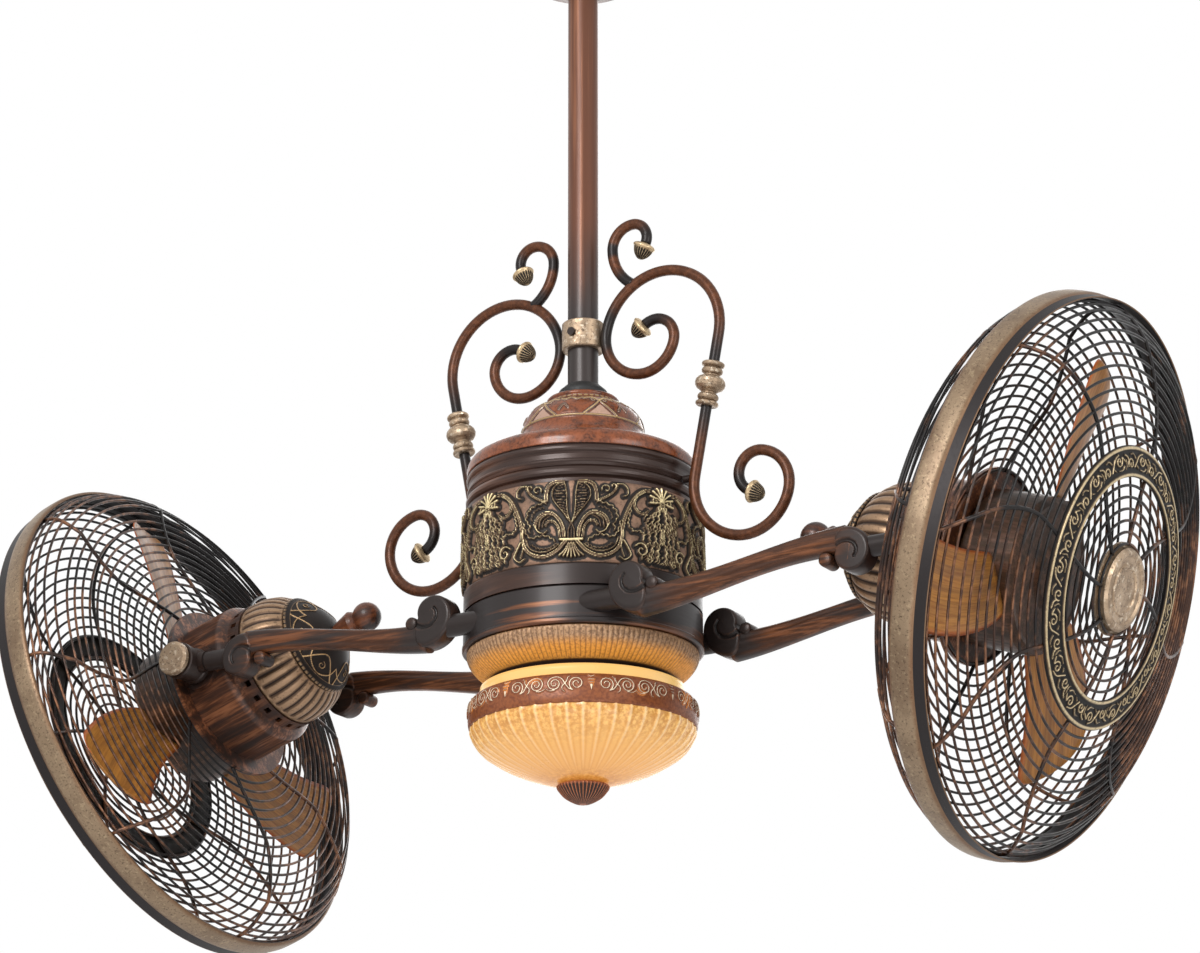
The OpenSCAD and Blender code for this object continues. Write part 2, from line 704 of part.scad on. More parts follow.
// A barrel on the end of an arm: the head's trunnion turns in it.
module knuckle(s, has_knob) {
    mirror([0, s < 0 ? 1 : 0, 0]) translate([pivot_u, 0, z_pivot]) {
        difference() {
            union() {
                translate([0, barrel_in, 0]) rotate([-90, 0, 0])
                    turned([[0, 0], [barrel_r - 1, 0], [barrel_r, 1], [barrel_r, 5], [barrel_r - 1, 6],
                        [barrel_r - 1, 22], [barrel_r, 23], [barrel_r, barrel_out - barrel_in - 1],
                        [barrel_r - 1, barrel_out - barrel_in], [0, barrel_out - barrel_in]]);
                translate([-barrel_r - 4, arm_gap, 0]) rotate([0, 90, 0])
                    cylinder(r = neck_r2 + 0.5, h = barrel_r);
            }
            translate([0, barrel_in - 1, 0]) rotate([-90, 0, 0])
                cylinder(r = trunnion_r + fit, h = barrel_out - barrel_in - 2);
            if (has_knob) translate([0, barrel_out, 0]) rotate([90, 0, 0])
                cylinder(r = 4 + fit, h = 10, center = true);
        }
        if (!has_knob) translate([0, barrel_out - 0.5, 0]) rotate([-90, 0, 0])
            turned([[0, 0], [11, 0], [11, 1.5], [9, 3], [0, 3.6]]);
    }
}

module knuckles() {
    color("#6a3a22") for (az = [RIGHT, LEFT]) side(az) {
        knuckle(FAR, true);
        knuckle(NEAR, false);
    }
}

// The sprung knob: pulled out, it frees the brake pad from the trunnion.
module pull_knob(az) {
    reach = barrel_out - pad_at;
    color("#b9a88c") side(az) translate([pivot_u, pad_at, z_pivot]) rotate([-90, 0, 0])
        turned([[0, 0], [trunnion_r - 0.4, 0], [trunnion_r - 0.4, 2.5], [4, 2.5],
            [4, reach + knob_gap], [knob_r - 2, reach + knob_gap], [knob_r - 1.4, reach + 2],
            [knob_r, reach + 3], [knob_r, reach + 6.5], [knob_r - 1, reach + 7.5],
            [knob_r - 3, reach + 7.8], [0, reach + 7.8]]);
}

module pull_knob_right() { pull_knob(RIGHT); }
module pull_knob_left() { pull_knob(LEFT); }

// ---------- heads ----------

motor_front = 20;
motor_rear = -29;
vent_rear = -42;
vent_r = 58.6;
dome_rear = -81;
dome_r = 43.5;
axle_r = 5;

module motor_housing(az) {
    color("#6a3a22") head(az) {
        difference() {
            union() {
                turned(concat(
                    [[vent_r - 6, vent_rear], [vent_r, vent_rear], [vent_r, motor_rear - 1]],
                    [[vent_r + 1.4, motor_rear]],
                    arc(motor_r - 8, motor_rear + 8, 8, -60, 0, 5),
                    [[motor_r, motor_front - 3], [grille_seat, motor_front - 3]],
                    [[grille_seat, motor_front], [axle_r + fit, motor_front]],
                    [[axle_r + fit, motor_front - 12], [12, motor_front - 12], [12, motor_front - 4]],
                    [[motor_r - wall, motor_front - 4], [motor_r - wall, motor_rear + 8]],
                    [[vent_r - wall, motor_rear], [vent_r - wall, vent_rear + 3]],
                    [[vent_r - 6, vent_rear + 3]]));
                for (s = [-1, 1]) rotate([-90 * s, 0, 0]) {
                    translate([0, 0, motor_r - 6]) cylinder(r = 20, h = barrel_in - motor_r + 5.5);
                    translate([0, 0, motor_r - 6]) cylinder(r = trunnion_r,
                        h = trunnion_end - motor_r + 6);
                }
            }
            for (a = [0 : 15 : 359]) rotate([0, 0, a]) translate([vent_r - 5, -2.7, vent_rear + 3.6])
                cube([10, 5.4, 5.4]);
            translate([0, 0, vent_rear + 4]) cylinder(r = vent_r - wall, h = 9);
            translate([0, 0, motor_rear + 8]) cylinder(r = motor_r - wall, h = motor_front - motor_rear - 12);
        }
    }
}

module motor_stator(az) {
    color("#8c4a22") head(az) difference() {
        union() {
            translate([0, 0, -26]) cylinder(r = 46, h = 32);
            translate([0, 0, -30]) cylinder(r = 14, h = motor_front - 12 + 30);
        }
        translate([0, 0, -31]) cylinder(r = axle_r + fit, h = 60);
        for (a = [0 : 30 : 359]) rotate([0, 0, a]) translate([36, -3, -30]) cube([12, 6, 40]);
    }
}

// The dome's outer line from the vent ring to the rear cap
dome_line = [[vent_r - 1, vent_rear - 3], [vent_r - 0.6, vent_rear - 10], [vent_r - 1.6, vent_rear - 18],
    [vent_r - 5, vent_rear - 28], [dome_r + 2, dome_rear + 1]];
reeds = 36;

module reeded_dome(az) {
    color("#b9a88c") head(az) difference() {
        turned(concat(
            [[vent_r - 6, vent_rear], [vent_r - 1, vent_rear]], dome_line,
            [[dome_r, dome_rear], [20, dome_rear], [20, dome_rear + 3]],
            [[dome_r - 2, dome_rear + 3], [vent_r - 8.4, vent_rear - 28], [vent_r - 5, vent_rear - 18]],
            [[vent_r - 4.4, vent_rear - 10], [vent_r - 4.6, vent_rear - 3], [vent_r - 6, vent_rear - 3]]));
        // The grooves between the reeds
        for (i = [0 : reeds - 1]) rotate([0, 0, (i + 0.5) * 360 / reeds]) rotate([90, 0, 0])
            linear_extrude(2.6, center = true) polygon(concat(
                [for (p = dome_line) p - [1.3, 0]], [[vent_r + 9, dome_rear - 1], [vent_r + 9, vent_rear - 3]]));
    }
}

handle_at = dome_rear - 26;

module rear_cap(az) {
    color("#241b18") head(az) translate([0, 0, dome_rear]) turned([
        [0, 0], [dome_r + 0.5, 0], [dome_r + 1.5, -1.5], [dome_r + 0.5, -4], [dome_r - 3, -6],
        [dome_r - 9, -12], [dome_r - 17, -18], [dome_r - 26, -23], [9, handle_at - dome_rear],
        [0, handle_at - dome_rear]]);
}

ball_w = handle_at - 33;

module handle(az) {
    color("#4a2a1c") head(az) {
        turned([[0, handle_at], [7, handle_at], [8.4, handle_at - 4], [11.5, handle_at - 16],
            [12, handle_at - 18], [10.5, handle_at - 21], [8, handle_at - 24], [0, handle_at - 24]]);
        translate([0, 0, ball_w]) sphere(r = 13);
    }
}

// ---------- cages ----------

band_at = 72.3;          // the cage band's middle, out from the tilt axis
band_w = 19;
band_t = 4;
lip_w = 10;
rib_end = wire_d / 2 + 0.4;          // a rib runs this far past its last ring wire
rim_wire = cage_r - band_t - rib_end - 0.5;
shoulder_rear = cage_r - 29;
shoulder_front = cage_r - 27;
rear_wall = [35, 66];    // from the shoulder to the rim, along the axis
front_wall = [106, 79];
rear_in = 78;            // the innermost ring of the rear grille
grille_seat = rear_in + 2;
front_in = 36;
apex = 138;
ornament_in = 90;
ornament_out = 109.5;

// The grilles' shape: a shallow dome inside the shoulder, and a sloped wall outside it.
rear_k = (rear_wall[0] - motor_front - rib_t / 2 - 0.1)
    / (shoulder_rear * shoulder_rear - rear_in * rear_in);
front_k = (apex - front_wall[0]) / (shoulder_front * shoulder_front);
function rear_at(r) = rear_wall[0] - rear_k * (shoulder_rear * shoulder_rear - r * r);
function front_at(r) = apex - front_k * r * r;
function wall_at(shoulder, ends, t) =
    [shoulder + (rim_wire - shoulder) * (t + 0.28 * sin(180 * t)), ends[0] + (ends[1] - ends[0]) * t];

// One ring of drawn wire, eight-sided
module wire_ring(r, z) {
    translate([0, 0, z]) rotate_extrude() translate([r, 0])
        polygon([for (a = [22.5 : 45 : 359]) wire_d / 2 * [cos(a), sin(a)]]);
}

wall_rings = 5;
rear_rings = floor((shoulder_rear - rear_in) / wire_pitch);
front_rings = floor((shoulder_front - ornament_out) / wire_pitch);
inner_rings = floor((ornament_in - front_in) / wire_pitch);

// A rib: a bar that follows a line of [radius, height] points and runs a little past both ends.
module rib(points) {
    t = rib_t / 2;
    n = len(points) - 1;
    first = points[0] - points[1];
    final = points[n] - points[n - 1];
    line = [for (i = [0 : n]) points[i] + rib_end * (i == 0 ? first / norm(first)
        : i == n ? final / norm(final) : [0, 0])];
    normals = [for (i = [0 : n]) let (d = line[min(i + 1, n)] - line[max(i - 1, 0)]) [-d[1], d[0]] / norm(d)];
    rotate([90, 0, 0]) linear_extrude(rib_t, center = true) polygon(concat(
        [for (i = [0 : n]) line[i] + t * normals[i]],
        [for (i = [n : -1 : 0]) line[i] - t * normals[i]]));
}

module rear_grille(az) {
    color("#2a1c16") head(az) {
        for (i = [0 : rear_rings])
            let (r = rear_in + (shoulder_rear - rear_in) * i / rear_rings) wire_ring(r, rear_at(r));
        for (i = [1 : wall_rings])
            let (p = wall_at(shoulder_rear, rear_wall, i / wall_rings)) wire_ring(p[0], p[1]);
        for (i = [0 : ribs - 1]) rotate([0, 0, (i + 0.83) * 360 / ribs]) rib(concat(
            [for (j = [0 : 6]) let (r = rear_in + (shoulder_rear - rear_in) * j / 6)
                [r, rear_at(r)]],
            [for (j = [1 : 5]) wall_at(shoulder_rear, rear_wall, j / 5)]));
    }
}

module front_grille(az) {
    color("#2a1c16") head(az) {
        for (i = [0 : front_rings])
            let (r = ornament_out + (shoulder_front - ornament_out) * i / front_rings)
                wire_ring(r, front_at(r));
        for (i = [0 : inner_rings])
            let (r = front_in + (ornament_in - front_in) * i / inner_rings) wire_ring(r, front_at(r));
        for (i = [1 : wall_rings])
            let (p = wall_at(shoulder_front, front_wall, i / wall_rings)) wire_ring(p[0], p[1]);
        for (i = [0 : ribs - 1]) rotate([0, 0, (i + 0.81) * 360 / ribs]) rib(concat(
            [for (j = [0 : 8]) let (r = front_in + (shoulder_front - front_in) * j / 8)
                [r, front_at(r)]],
            [for (j = [1 : 5]) wall_at(shoulder_front, front_wall, j / 5)]));
    }
}

// The band, with a thin lip that covers the rim of the front grille
module cage_band(az) {
    h = band_w / 2;
    color("#b9a88c") head(az) translate([0, 0, band_at]) turned([
        [cage_r - band_t, -h], [cage_r - 1.5, -h], [cage_r - 0.5, -h + 2],
        [cage_r, -h + 5], [cage_r, h - 5], [cage_r - 0.5, h - 2], [cage_r - 1.5, h],
        [cage_r - band_t + 1.8, h + 0.5], [cage_r - band_t + 1.4, h + lip_w],
        [cage_r - band_t, h + lip_w]]);
}

module ornament_ring(az) {
    back = rib_t / 2 + 0.3;
    a = [ornament_in - 3, front_at(ornament_in - 3) + back];
    b = [ornament_out + 3, front_at(ornament_out + 3) + back];
    color("#8a6d34") head(az) turned([a, b, b + [0.6, 1.4], b + [-1.6, 2.6], b + [-3.4, 1.8],
        a + [3.4, 1.8], a + [1.6, 2.6], a + [-0.6, 1.4]]);
}

medallion_r = 33;

module medallion(az) {
    seat = apex - wire_d / 2 - 1.2;
    color("#b9a88c") head(az) turned([
        [0, seat - 5], [medallion_r - 6, seat - 5], [medallion_r - 4, seat - 3], [front_in + 1, seat - 3],
        [front_in + 1, seat - 0.7], [medallion_r, seat - 0.7], [medallion_r, seat + 4],
        [medallion_r - 2, seat + 6.5], [medallion_r - 5, seat + 7], [medallion_r - 7, seat + 5.4],
        [medallion_r - 12, seat + 5.4], [medallion_r - 13, seat + 6.6], [medallion_r - 15, seat + 6.6],
        [medallion_r - 16, seat + 5.4], [0, seat + 5.4]]);
}

// ---------- fan ----------

drum_r = motor_r - 2;
drum_rear = motor_front + 6;
drum_front = 75;

module fan_rotor(az) {
    color("#2c211d") head(az) turned([
        [0, -24], [axle_r, -24], [axle_r, drum_front - 8], [14, drum_front - 6],
        [drum_r - 3, drum_front - 4], [drum_r - 3, drum_rear], [drum_r, drum_rear],
        [drum_r, drum_front - 5], [drum_r - 1.5, drum_front - 1.5], [drum_r - 5, drum_front],
        [drum_r - 9, drum_front - 0.8], [26, drum_front], [20, drum_front + 3], [0, drum_front + 4.5]]);
}

blade_plane = drum_front - 11;
blade_root = drum_r + 0.1;
blade_t = 2.6;
blade_steps = 16;
blade_turn = 60;
tip_round = 14;          // radius of the tip's two corners

// A blade's section at the share t of its length: it lies on a cylinder about the fan's axis.
// The blade widens from its root to its tip, and leans back against its turning.
function chord_at(t) = blade_chord * (0.56 + 0.44 * pow(t, 0.7));
function lean_at(t) = -10 - 40 * pow(t, 1.8);
function corner_at(r) = let (d = max(r - blade_r + tip_round, 0))
    tip_round - sqrt(max(tip_round * tip_round - d * d, 0));
function blade_ring(t) =
    let (r = blade_root + (blade_r - blade_root) * t, c = chord_at(t) - 2 * corner_at(r),
         a = blade_pitch - 4 * t)
    [for (i = [0 : 15])
        let (u = i < 8 ? i / 7 : (15 - i) / 8, x = (u - 0.5) * c + lean_at(t),
             camber = 0.06 * c * (1 - pow(2 * u - 1, 2)),
             y = camber + (i < 8 ? 0.5 : -0.5) * blade_t * (1 - 0.7 * pow(abs(2 * u - 1), 3)),
             side = x * cos(a) - y * sin(a))
        [sqrt(r * r - side * side), side, blade_plane + x * sin(a) + y * cos(a) + 8 * sin(a) * t]];

module fan_blades(az) {
    color("#b07a34") head(az)
        for (i = [0 : 2]) rotate([0, 0, 120 * i + blade_turn + (az == LEFT ? 12 : 0)])
            loft([for (j = [0 : blade_steps]) blade_ring(1 - pow(1 - j / blade_steps, 1.4))]);
}

module right_motor_housing() { motor_housing(RIGHT); }
module right_motor_stator() { motor_stator(RIGHT); }
module right_reeded_dome() { reeded_dome(RIGHT); }
module right_rear_cap() { rear_cap(RIGHT); }
module right_handle() { handle(RIGHT); }
module right_rear_grille() { rear_grille(RIGHT); }
module right_front_grille() { front_grille(RIGHT); }
module right_cage_band() { cage_band(RIGHT); }
module right_ornament_ring() { ornament_ring(RIGHT); }
module right_medallion() { medallion(RIGHT); }
module right_fan_rotor() { fan_rotor(RIGHT); }
module right_fan_blades() { fan_blades(RIGHT); }
module left_motor_housing() { motor_housing(LEFT); }
module left_motor_stator() { motor_stator(LEFT); }
module left_reeded_dome() { reeded_dome(LEFT); }
module left_rear_cap() { rear_cap(LEFT); }
module left_handle() { handle(LEFT); }
module left_rear_grille() { rear_grille(LEFT); }
module left_front_grille() { front_grille(LEFT); }
module left_cage_band() { cage_band(LEFT); }
module left_ornament_ring() { ornament_ring(LEFT); }
module left_medallion() { medallion(LEFT); }
module left_fan_rotor() { fan_rotor(LEFT); }
module left_fan_blades() { fan_blades(LEFT); }

// ---------- drawing ----------

ceiling_bracket();
canopy();
ceiling_screws();
hanger_ball();
downrod();
scroll_clamp();
scroll_screws();
scroll_right();
scroll_left();
scroll_fittings();
scroll_finials();
rod_boot();
cap();
coupling();
crown();
ornate_band();
base_ring();
centre_shaft();
drive_stator();
light_pan();
lamp_holders();
bulbs();
glass_shade();
shade_band();
finial();
turning_ring();
ring_bearings();
drive_rotor();
slip_ring();
arm_right_near();
arm_right_far();
arm_left_near();
arm_left_far();
knuckles();
pull_knob_right();
pull_knob_left();
right_motor_housing();
right_motor_stator();
right_reeded_dome();
right_rear_cap();
right_handle();
right_rear_grille();
right_front_grille();
right_cage_band();
right_ornament_ring();
right_medallion();
right_fan_rotor();
right_fan_blades();
left_motor_housing();
left_motor_stator();
left_reeded_dome();
left_rear_cap();
left_handle();
left_rear_grille();
left_front_grille();
left_cage_band();
left_ornament_ring();
left_medallion();
left_fan_rotor();
left_fan_blades();
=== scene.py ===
"""Dresses a twin head ceiling fan: the finishes, the carving, the glass and a plain white studio."""
import json
import math

import bmesh
import bpy
import numpy as np
from mathutils import Matrix, Vector


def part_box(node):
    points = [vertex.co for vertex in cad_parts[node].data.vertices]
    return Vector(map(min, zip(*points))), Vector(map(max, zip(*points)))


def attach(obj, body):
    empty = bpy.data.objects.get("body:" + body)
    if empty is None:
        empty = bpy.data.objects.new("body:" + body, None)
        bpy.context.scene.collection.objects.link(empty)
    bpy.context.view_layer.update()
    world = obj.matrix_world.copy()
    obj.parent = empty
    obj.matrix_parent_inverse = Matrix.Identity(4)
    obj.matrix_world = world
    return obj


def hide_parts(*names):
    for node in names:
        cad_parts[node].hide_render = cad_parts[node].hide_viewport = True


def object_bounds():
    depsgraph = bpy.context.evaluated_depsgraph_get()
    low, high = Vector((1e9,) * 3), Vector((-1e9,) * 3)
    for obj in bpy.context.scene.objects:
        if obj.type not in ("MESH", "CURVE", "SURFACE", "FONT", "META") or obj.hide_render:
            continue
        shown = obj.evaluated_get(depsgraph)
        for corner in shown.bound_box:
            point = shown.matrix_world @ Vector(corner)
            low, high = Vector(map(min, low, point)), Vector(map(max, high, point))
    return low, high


bl_info = {
    "name": "Twin Head Ceiling Fan",
    "version": (1, 0, 0),
    "blender": (4, 5, 0),
    "location": "View3D > Sidebar > Ceiling Fan",
    "description": "Builds the finishes and the carved detail of a twin head ceiling fan",
    "category": "Object",
}

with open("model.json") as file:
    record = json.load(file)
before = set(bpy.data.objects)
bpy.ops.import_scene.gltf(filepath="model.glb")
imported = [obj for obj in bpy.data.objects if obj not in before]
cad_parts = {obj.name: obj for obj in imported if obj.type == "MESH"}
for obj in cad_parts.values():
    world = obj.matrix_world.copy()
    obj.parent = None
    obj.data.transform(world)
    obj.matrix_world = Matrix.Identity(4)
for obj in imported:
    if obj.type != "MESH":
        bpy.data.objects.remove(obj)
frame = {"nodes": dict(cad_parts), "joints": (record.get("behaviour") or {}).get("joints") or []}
NODES = frame["nodes"]
CAD_BOX = [list(corner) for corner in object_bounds()]
JOINTS = {joint["name"]: joint for joint in frame["joints"]}
SIDES = ("right", "left")
TAU = 2 * math.pi
MM = 0.001


def z_range(node):
    """Lowest and highest level of a solid, in metres."""
    low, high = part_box(node)
    return low.z, high.z


# ---------- frames of reference ----------

def head_frame(side):
    """A head's own frame: origin on the tilt axis, Z out along the fan's axis, Y along the tilt axis."""
    lateral = Vector(JOINTS[f"{side}_head_tilt"]["axis"])
    out = Vector(JOINTS[f"{side}_fan_spin"]["axis"])
    x_axis = lateral.cross(out)
    turn = Matrix((x_axis, lateral, out)).transposed().to_4x4()
    return Matrix.Translation(JOINTS[f"{side}_head_tilt"]["pos_m"]) @ turn


def arm_frame(side):
    """The frame of one side's arms: X level and outward, Y along the tilt axis, Z up."""
    lateral = Vector(JOINTS[f"{side}_head_tilt"]["axis"])
    out = lateral.cross(Vector((0, 0, 1)))
    turn = Matrix((out, lateral, Vector((0, 0, 1)))).transposed().to_4x4()
    return turn


HEAD = {side: head_frame(side) for side in SIDES}
ARM = {side: arm_frame(side) for side in SIDES}
PIVOT_U = Vector(JOINTS["right_head_tilt"]["pos_m"]).xy.length


def placed(points, matrix):
    """Carries an array of points by a 4x4 matrix."""
    turn = np.array(matrix.to_3x3())
    return points @ turn.T + np.array(matrix.translation)


# ---------- surfaces ----------

class Skin:
    """Gathers grids of points into one mesh. A grid is an array of shape (rows, columns, 3), and each of its
    rows runs round a ring."""

    def __init__(self):
        self.points, self.quads, self.tones, self.count = [], [], [], 0

    def add(self, grid, closed=False, flip=False, tone=None):
        """Adds a grid as four-sided faces. closed joins its last row to its first; flip turns it over."""
        rows, columns = grid.shape[:2]
        index = np.arange(rows * columns).reshape(rows, columns)
        if closed:
            index = np.vstack([index, index[:1]])
        index = np.hstack([index, index[:, :1]])
        corners = [index[:-1, :-1], index[1:, :-1], index[1:, 1:], index[:-1, 1:]]
        quads = np.stack(corners, -1).reshape(-1, 4)
        if flip:
            quads = quads[:, ::-1]
        self.points.append(grid.reshape(-1, 3))
        self.tones.append(np.zeros(rows * columns) if tone is None else np.ravel(tone))
        self.quads.append(quads + self.count)
        self.count += rows * columns
        return self

    def piece(self, name, body, slot, material, replaces):
        """Makes the mesh object, hangs it on its body's empty, and hides the solid that it replaces."""
        points, quads = np.vstack(self.points), np.vstack(self.quads)
        mesh = bpy.data.meshes.new(name)
        mesh.vertices.add(len(points))
        mesh.vertices.foreach_set("co", points.astype(np.float32).ravel())
        mesh.loops.add(quads.size)
        mesh.loops.foreach_set("vertex_index", quads.astype(np.int32).ravel())
        mesh.polygons.add(len(quads))
        mesh.polygons.foreach_set("loop_start", np.arange(0, quads.size, 4, dtype=np.int32))
        mesh.polygons.foreach_set("use_smooth", np.ones(len(quads), dtype=bool))
        tone = mesh.attributes.new("tone", "FLOAT", "POINT")
        tone.data.foreach_set("value", np.concatenate(self.tones).astype(np.float32))
        mesh.update(calc_edges=True)
        weld(mesh)
        mesh.materials.append(material)
        thing = bpy.data.objects.new(name, mesh)
        bpy.context.scene.collection.objects.link(thing)
        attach(thing, body)
        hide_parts(replaces)


def weld(mesh):
    """Merges the points that meet at seams and poles, so that each surface is closed."""
    work = bmesh.new()
    work.from_mesh(mesh)
    bmesh.ops.remove_doubles(work, verts=work.verts, dist=2e-6)
    work.to_mesh(mesh)
    work.free()


def around(radius, angle, level):
    """Points at the given distances from the Z axis, angles and levels."""
    radius, angle, level = np.broadcast_arrays(radius, angle, level)
    return np.stack([radius * np.cos(angle), radius * np.sin(angle), level], -1)


def pole(level, steps):
    """A row whose points all lie at one place of the Z axis, and which weld makes one."""
    return np.zeros((1, steps, 3)) + [0, 0, level]


def lengths(line):
    """The distance along a line at each of its points."""
    return np.concatenate([[0], np.cumsum(np.linalg.norm(np.diff(line, axis=0), axis=1))])


def normals(line):
    """The direction to the left of a flat line at each of its points."""
    ahead = np.gradient(line, axis=0)
    return np.stack([-ahead[:, 1], ahead[:, 0]], -1) / np.linalg.norm(ahead, axis=1)[:, None]


def bead(gap, half):
    """A half round section: 1 in its middle, 0 at its half width and past it."""
    return np.sqrt(np.clip(1 - (gap / half) ** 2, 0, 1))


def ease(t):
    """A smooth step from 0 to 1."""
    return t * t * (3 - 2 * t)


def turned(profile, steps=128, swell=None, start=0.0):
    """A surface of revolution about Z: the profile's (radius, height) points carried round the axis.

    swell(angle, row) gives a factor on the radius, so that a fluted form is r(a) = r * swell(a)."""
    profile = np.asarray(profile, float)
    angle = start + np.linspace(0, TAU, steps, endpoint=False)
    radius = profile[:, :1]
    if swell is not None:
        radius = radius * swell(angle[None, :], np.arange(len(profile))[:, None])
    return around(radius, angle, profile[:, 1:2])


def bend(profile, count=18):
    """A smooth curve through a few points, evenly sampled along its length."""
    profile = np.asarray(profile, float)
    steps = lengths(profile)
    at = np.linspace(0, steps[-1], count)
    padded = np.vstack([2 * profile[0] - profile[1], profile, 2 * profile[-1] - profile[-2]])
    slope = (padded[2:] - padded[:-2]) / np.maximum(np.gradient(steps)[:, None] * 2, 1e-9)
    which = np.clip(np.searchsorted(steps, at, "right") - 1, 0, len(steps) - 2)
    length = (steps[which + 1] - steps[which])[:, None]
    t = ((at - steps[which])[:, None]) / length
    a, b = profile[which], profile[which + 1]
    m, n = slope[which] * length, slope[which + 1] * length
    return ((2 * t ** 3 - 3 * t ** 2 + 1) * a + (t ** 3 - 2 * t ** 2 + t) * m
            + (-2 * t ** 3 + 3 * t ** 2) * b + (t ** 3 - t ** 2) * n)


# ---------- paint ----------

def paint(code):
    """A colour written as six hexadecimal digits, in the linear values that shaders use."""
    parts = [int(code[i:i + 2], 16) / 255 for i in (0, 2, 4)]
    return tuple(c / 12.92 if c <= 0.04045 else ((c + 0.055) / 1.055) ** 2.4 for c in parts) + (1.0,)


def glow():
    """How brightly the lamp's parts shine, as the panel sets it."""
    return bpy.context.scene.fan_finish.glow


class Nodes:
    """Short ways to place and join shader nodes in one tree."""

    def __init__(self, tree):
        self.tree = tree

    def new(self, kind, inputs=None, **settings):
        """Adds a node; an input is either another node's socket or a value."""
        node = self.tree.nodes.new(kind)
        for key, value in settings.items():
            setattr(node, key, value)
        for key, value in (inputs or {}).items():
            if isinstance(value, bpy.types.NodeSocket):
                self.tree.links.new(value, node.inputs[key])
            else:
                node.inputs[key].default_value = value
        return node

    def math(self, operation, a, b):
        return self.new("ShaderNodeMath", {0: a, 1: b}, operation=operation).outputs[0]

    def times(self, a, b):
        return self.math("MULTIPLY", a, b)

    def plus(self, a, b):
        return self.math("ADD", a, b)

    def tone(self):
        """The value that a mesh carries at each point: its relief, its wear or its place across."""
        return self.new("ShaderNodeAttribute", attribute_name="tone").outputs["Fac"]

    def split(self, vector):
        """The X, Y and Z of a vector."""
        return self.new("ShaderNodeSeparateXYZ", {0: vector}).outputs

    def scaled(self, vector, factors):
        return self.new("ShaderNodeVectorMath", {0: vector, 1: factors}, operation="MULTIPLY").outputs[0]

    def radius(self, vector):
        """Distance from the Z axis."""
        flat = self.scaled(vector, (1, 1, 0))
        return self.new("ShaderNodeVectorMath", {0: flat}, operation="LENGTH").outputs["Value"]

    def seen(self):
        """1 where a ray comes straight from the camera, a reflection or a clear surface, else 0."""
        path = self.new("ShaderNodeLightPath").outputs
        either = self.math("MAXIMUM", path["Is Camera Ray"], path["Is Glossy Ray"])
        return self.math("MAXIMUM", either, path["Is Transmission Ray"])

    def ramp(self, value, low, high, out_low=0.0, out_high=1.0):
        """A smooth step from low to high."""
        node = self.new("ShaderNodeMapRange", {"Value": value, "From Min": low, "From Max": high,
                                               "To Min": out_low, "To Max": out_high},
                        interpolation_type="SMOOTHSTEP")
        return node.outputs["Result"]

    def mix(self, factor, a, b):
        """Blends two colours; sockets 6 and 7 are the colour ones."""
        return self.new("ShaderNodeMix", {0: factor, 6: a, 7: b}, data_type="RGBA").outputs[2]

    def noise(self, vector, scale, detail=3.0, rough=0.55, twist=0.0):
        return self.new("ShaderNodeTexNoise", {"Vector": vector, "Scale": scale, "Detail": detail,
                                               "Roughness": rough, "Distortion": twist}).outputs["Fac"]

    def bump(self, height, strength, distance):
        return self.new("ShaderNodeBump", {"Height": height, "Strength": strength,
                                           "Distance": distance}).outputs["Normal"]

    def place(self, matrix=None):
        """Object coordinates, turned into a piece's own frame."""
        vector = self.new("ShaderNodeTexCoord").outputs["Object"]
        if matrix is not None:
            back = matrix.inverted()
            vector = self.new("ShaderNodeMapping", {"Vector": vector, "Location": back.translation,
                                                    "Rotation": back.to_euler()}).outputs[0]
        return vector

    def group(self, name, inputs):
        """One of the shared groups, with its inputs set."""
        return self.new("ShaderNodeGroup", inputs, node_tree=GROUPS[name]).outputs


GROUPS = {}


def new_group(name, inputs, outputs, build):
    """Makes a shared group with named sockets; build(nodes, inputs) returns its outputs in order."""
    tree = bpy.data.node_groups.new(name, "ShaderNodeTree")
    kinds = {"vector": "NodeSocketVector", "value": "NodeSocketFloat", "color": "NodeSocketColor"}
    for label, kind, default in inputs:
        socket = tree.interface.new_socket(label, in_out="INPUT", socket_type=kinds[kind])
        if default is not None:
            socket.default_value = default
    for label, kind in outputs:
        tree.interface.new_socket(label, in_out="OUTPUT", socket_type=kinds[kind])
    entry, leave = tree.nodes.new("NodeGroupInput"), tree.nodes.new("NodeGroupOutput")
    for socket, value in zip(leave.inputs, build(Nodes(tree), entry.outputs)):
        tree.links.new(value, socket)
    GROUPS[name] = tree


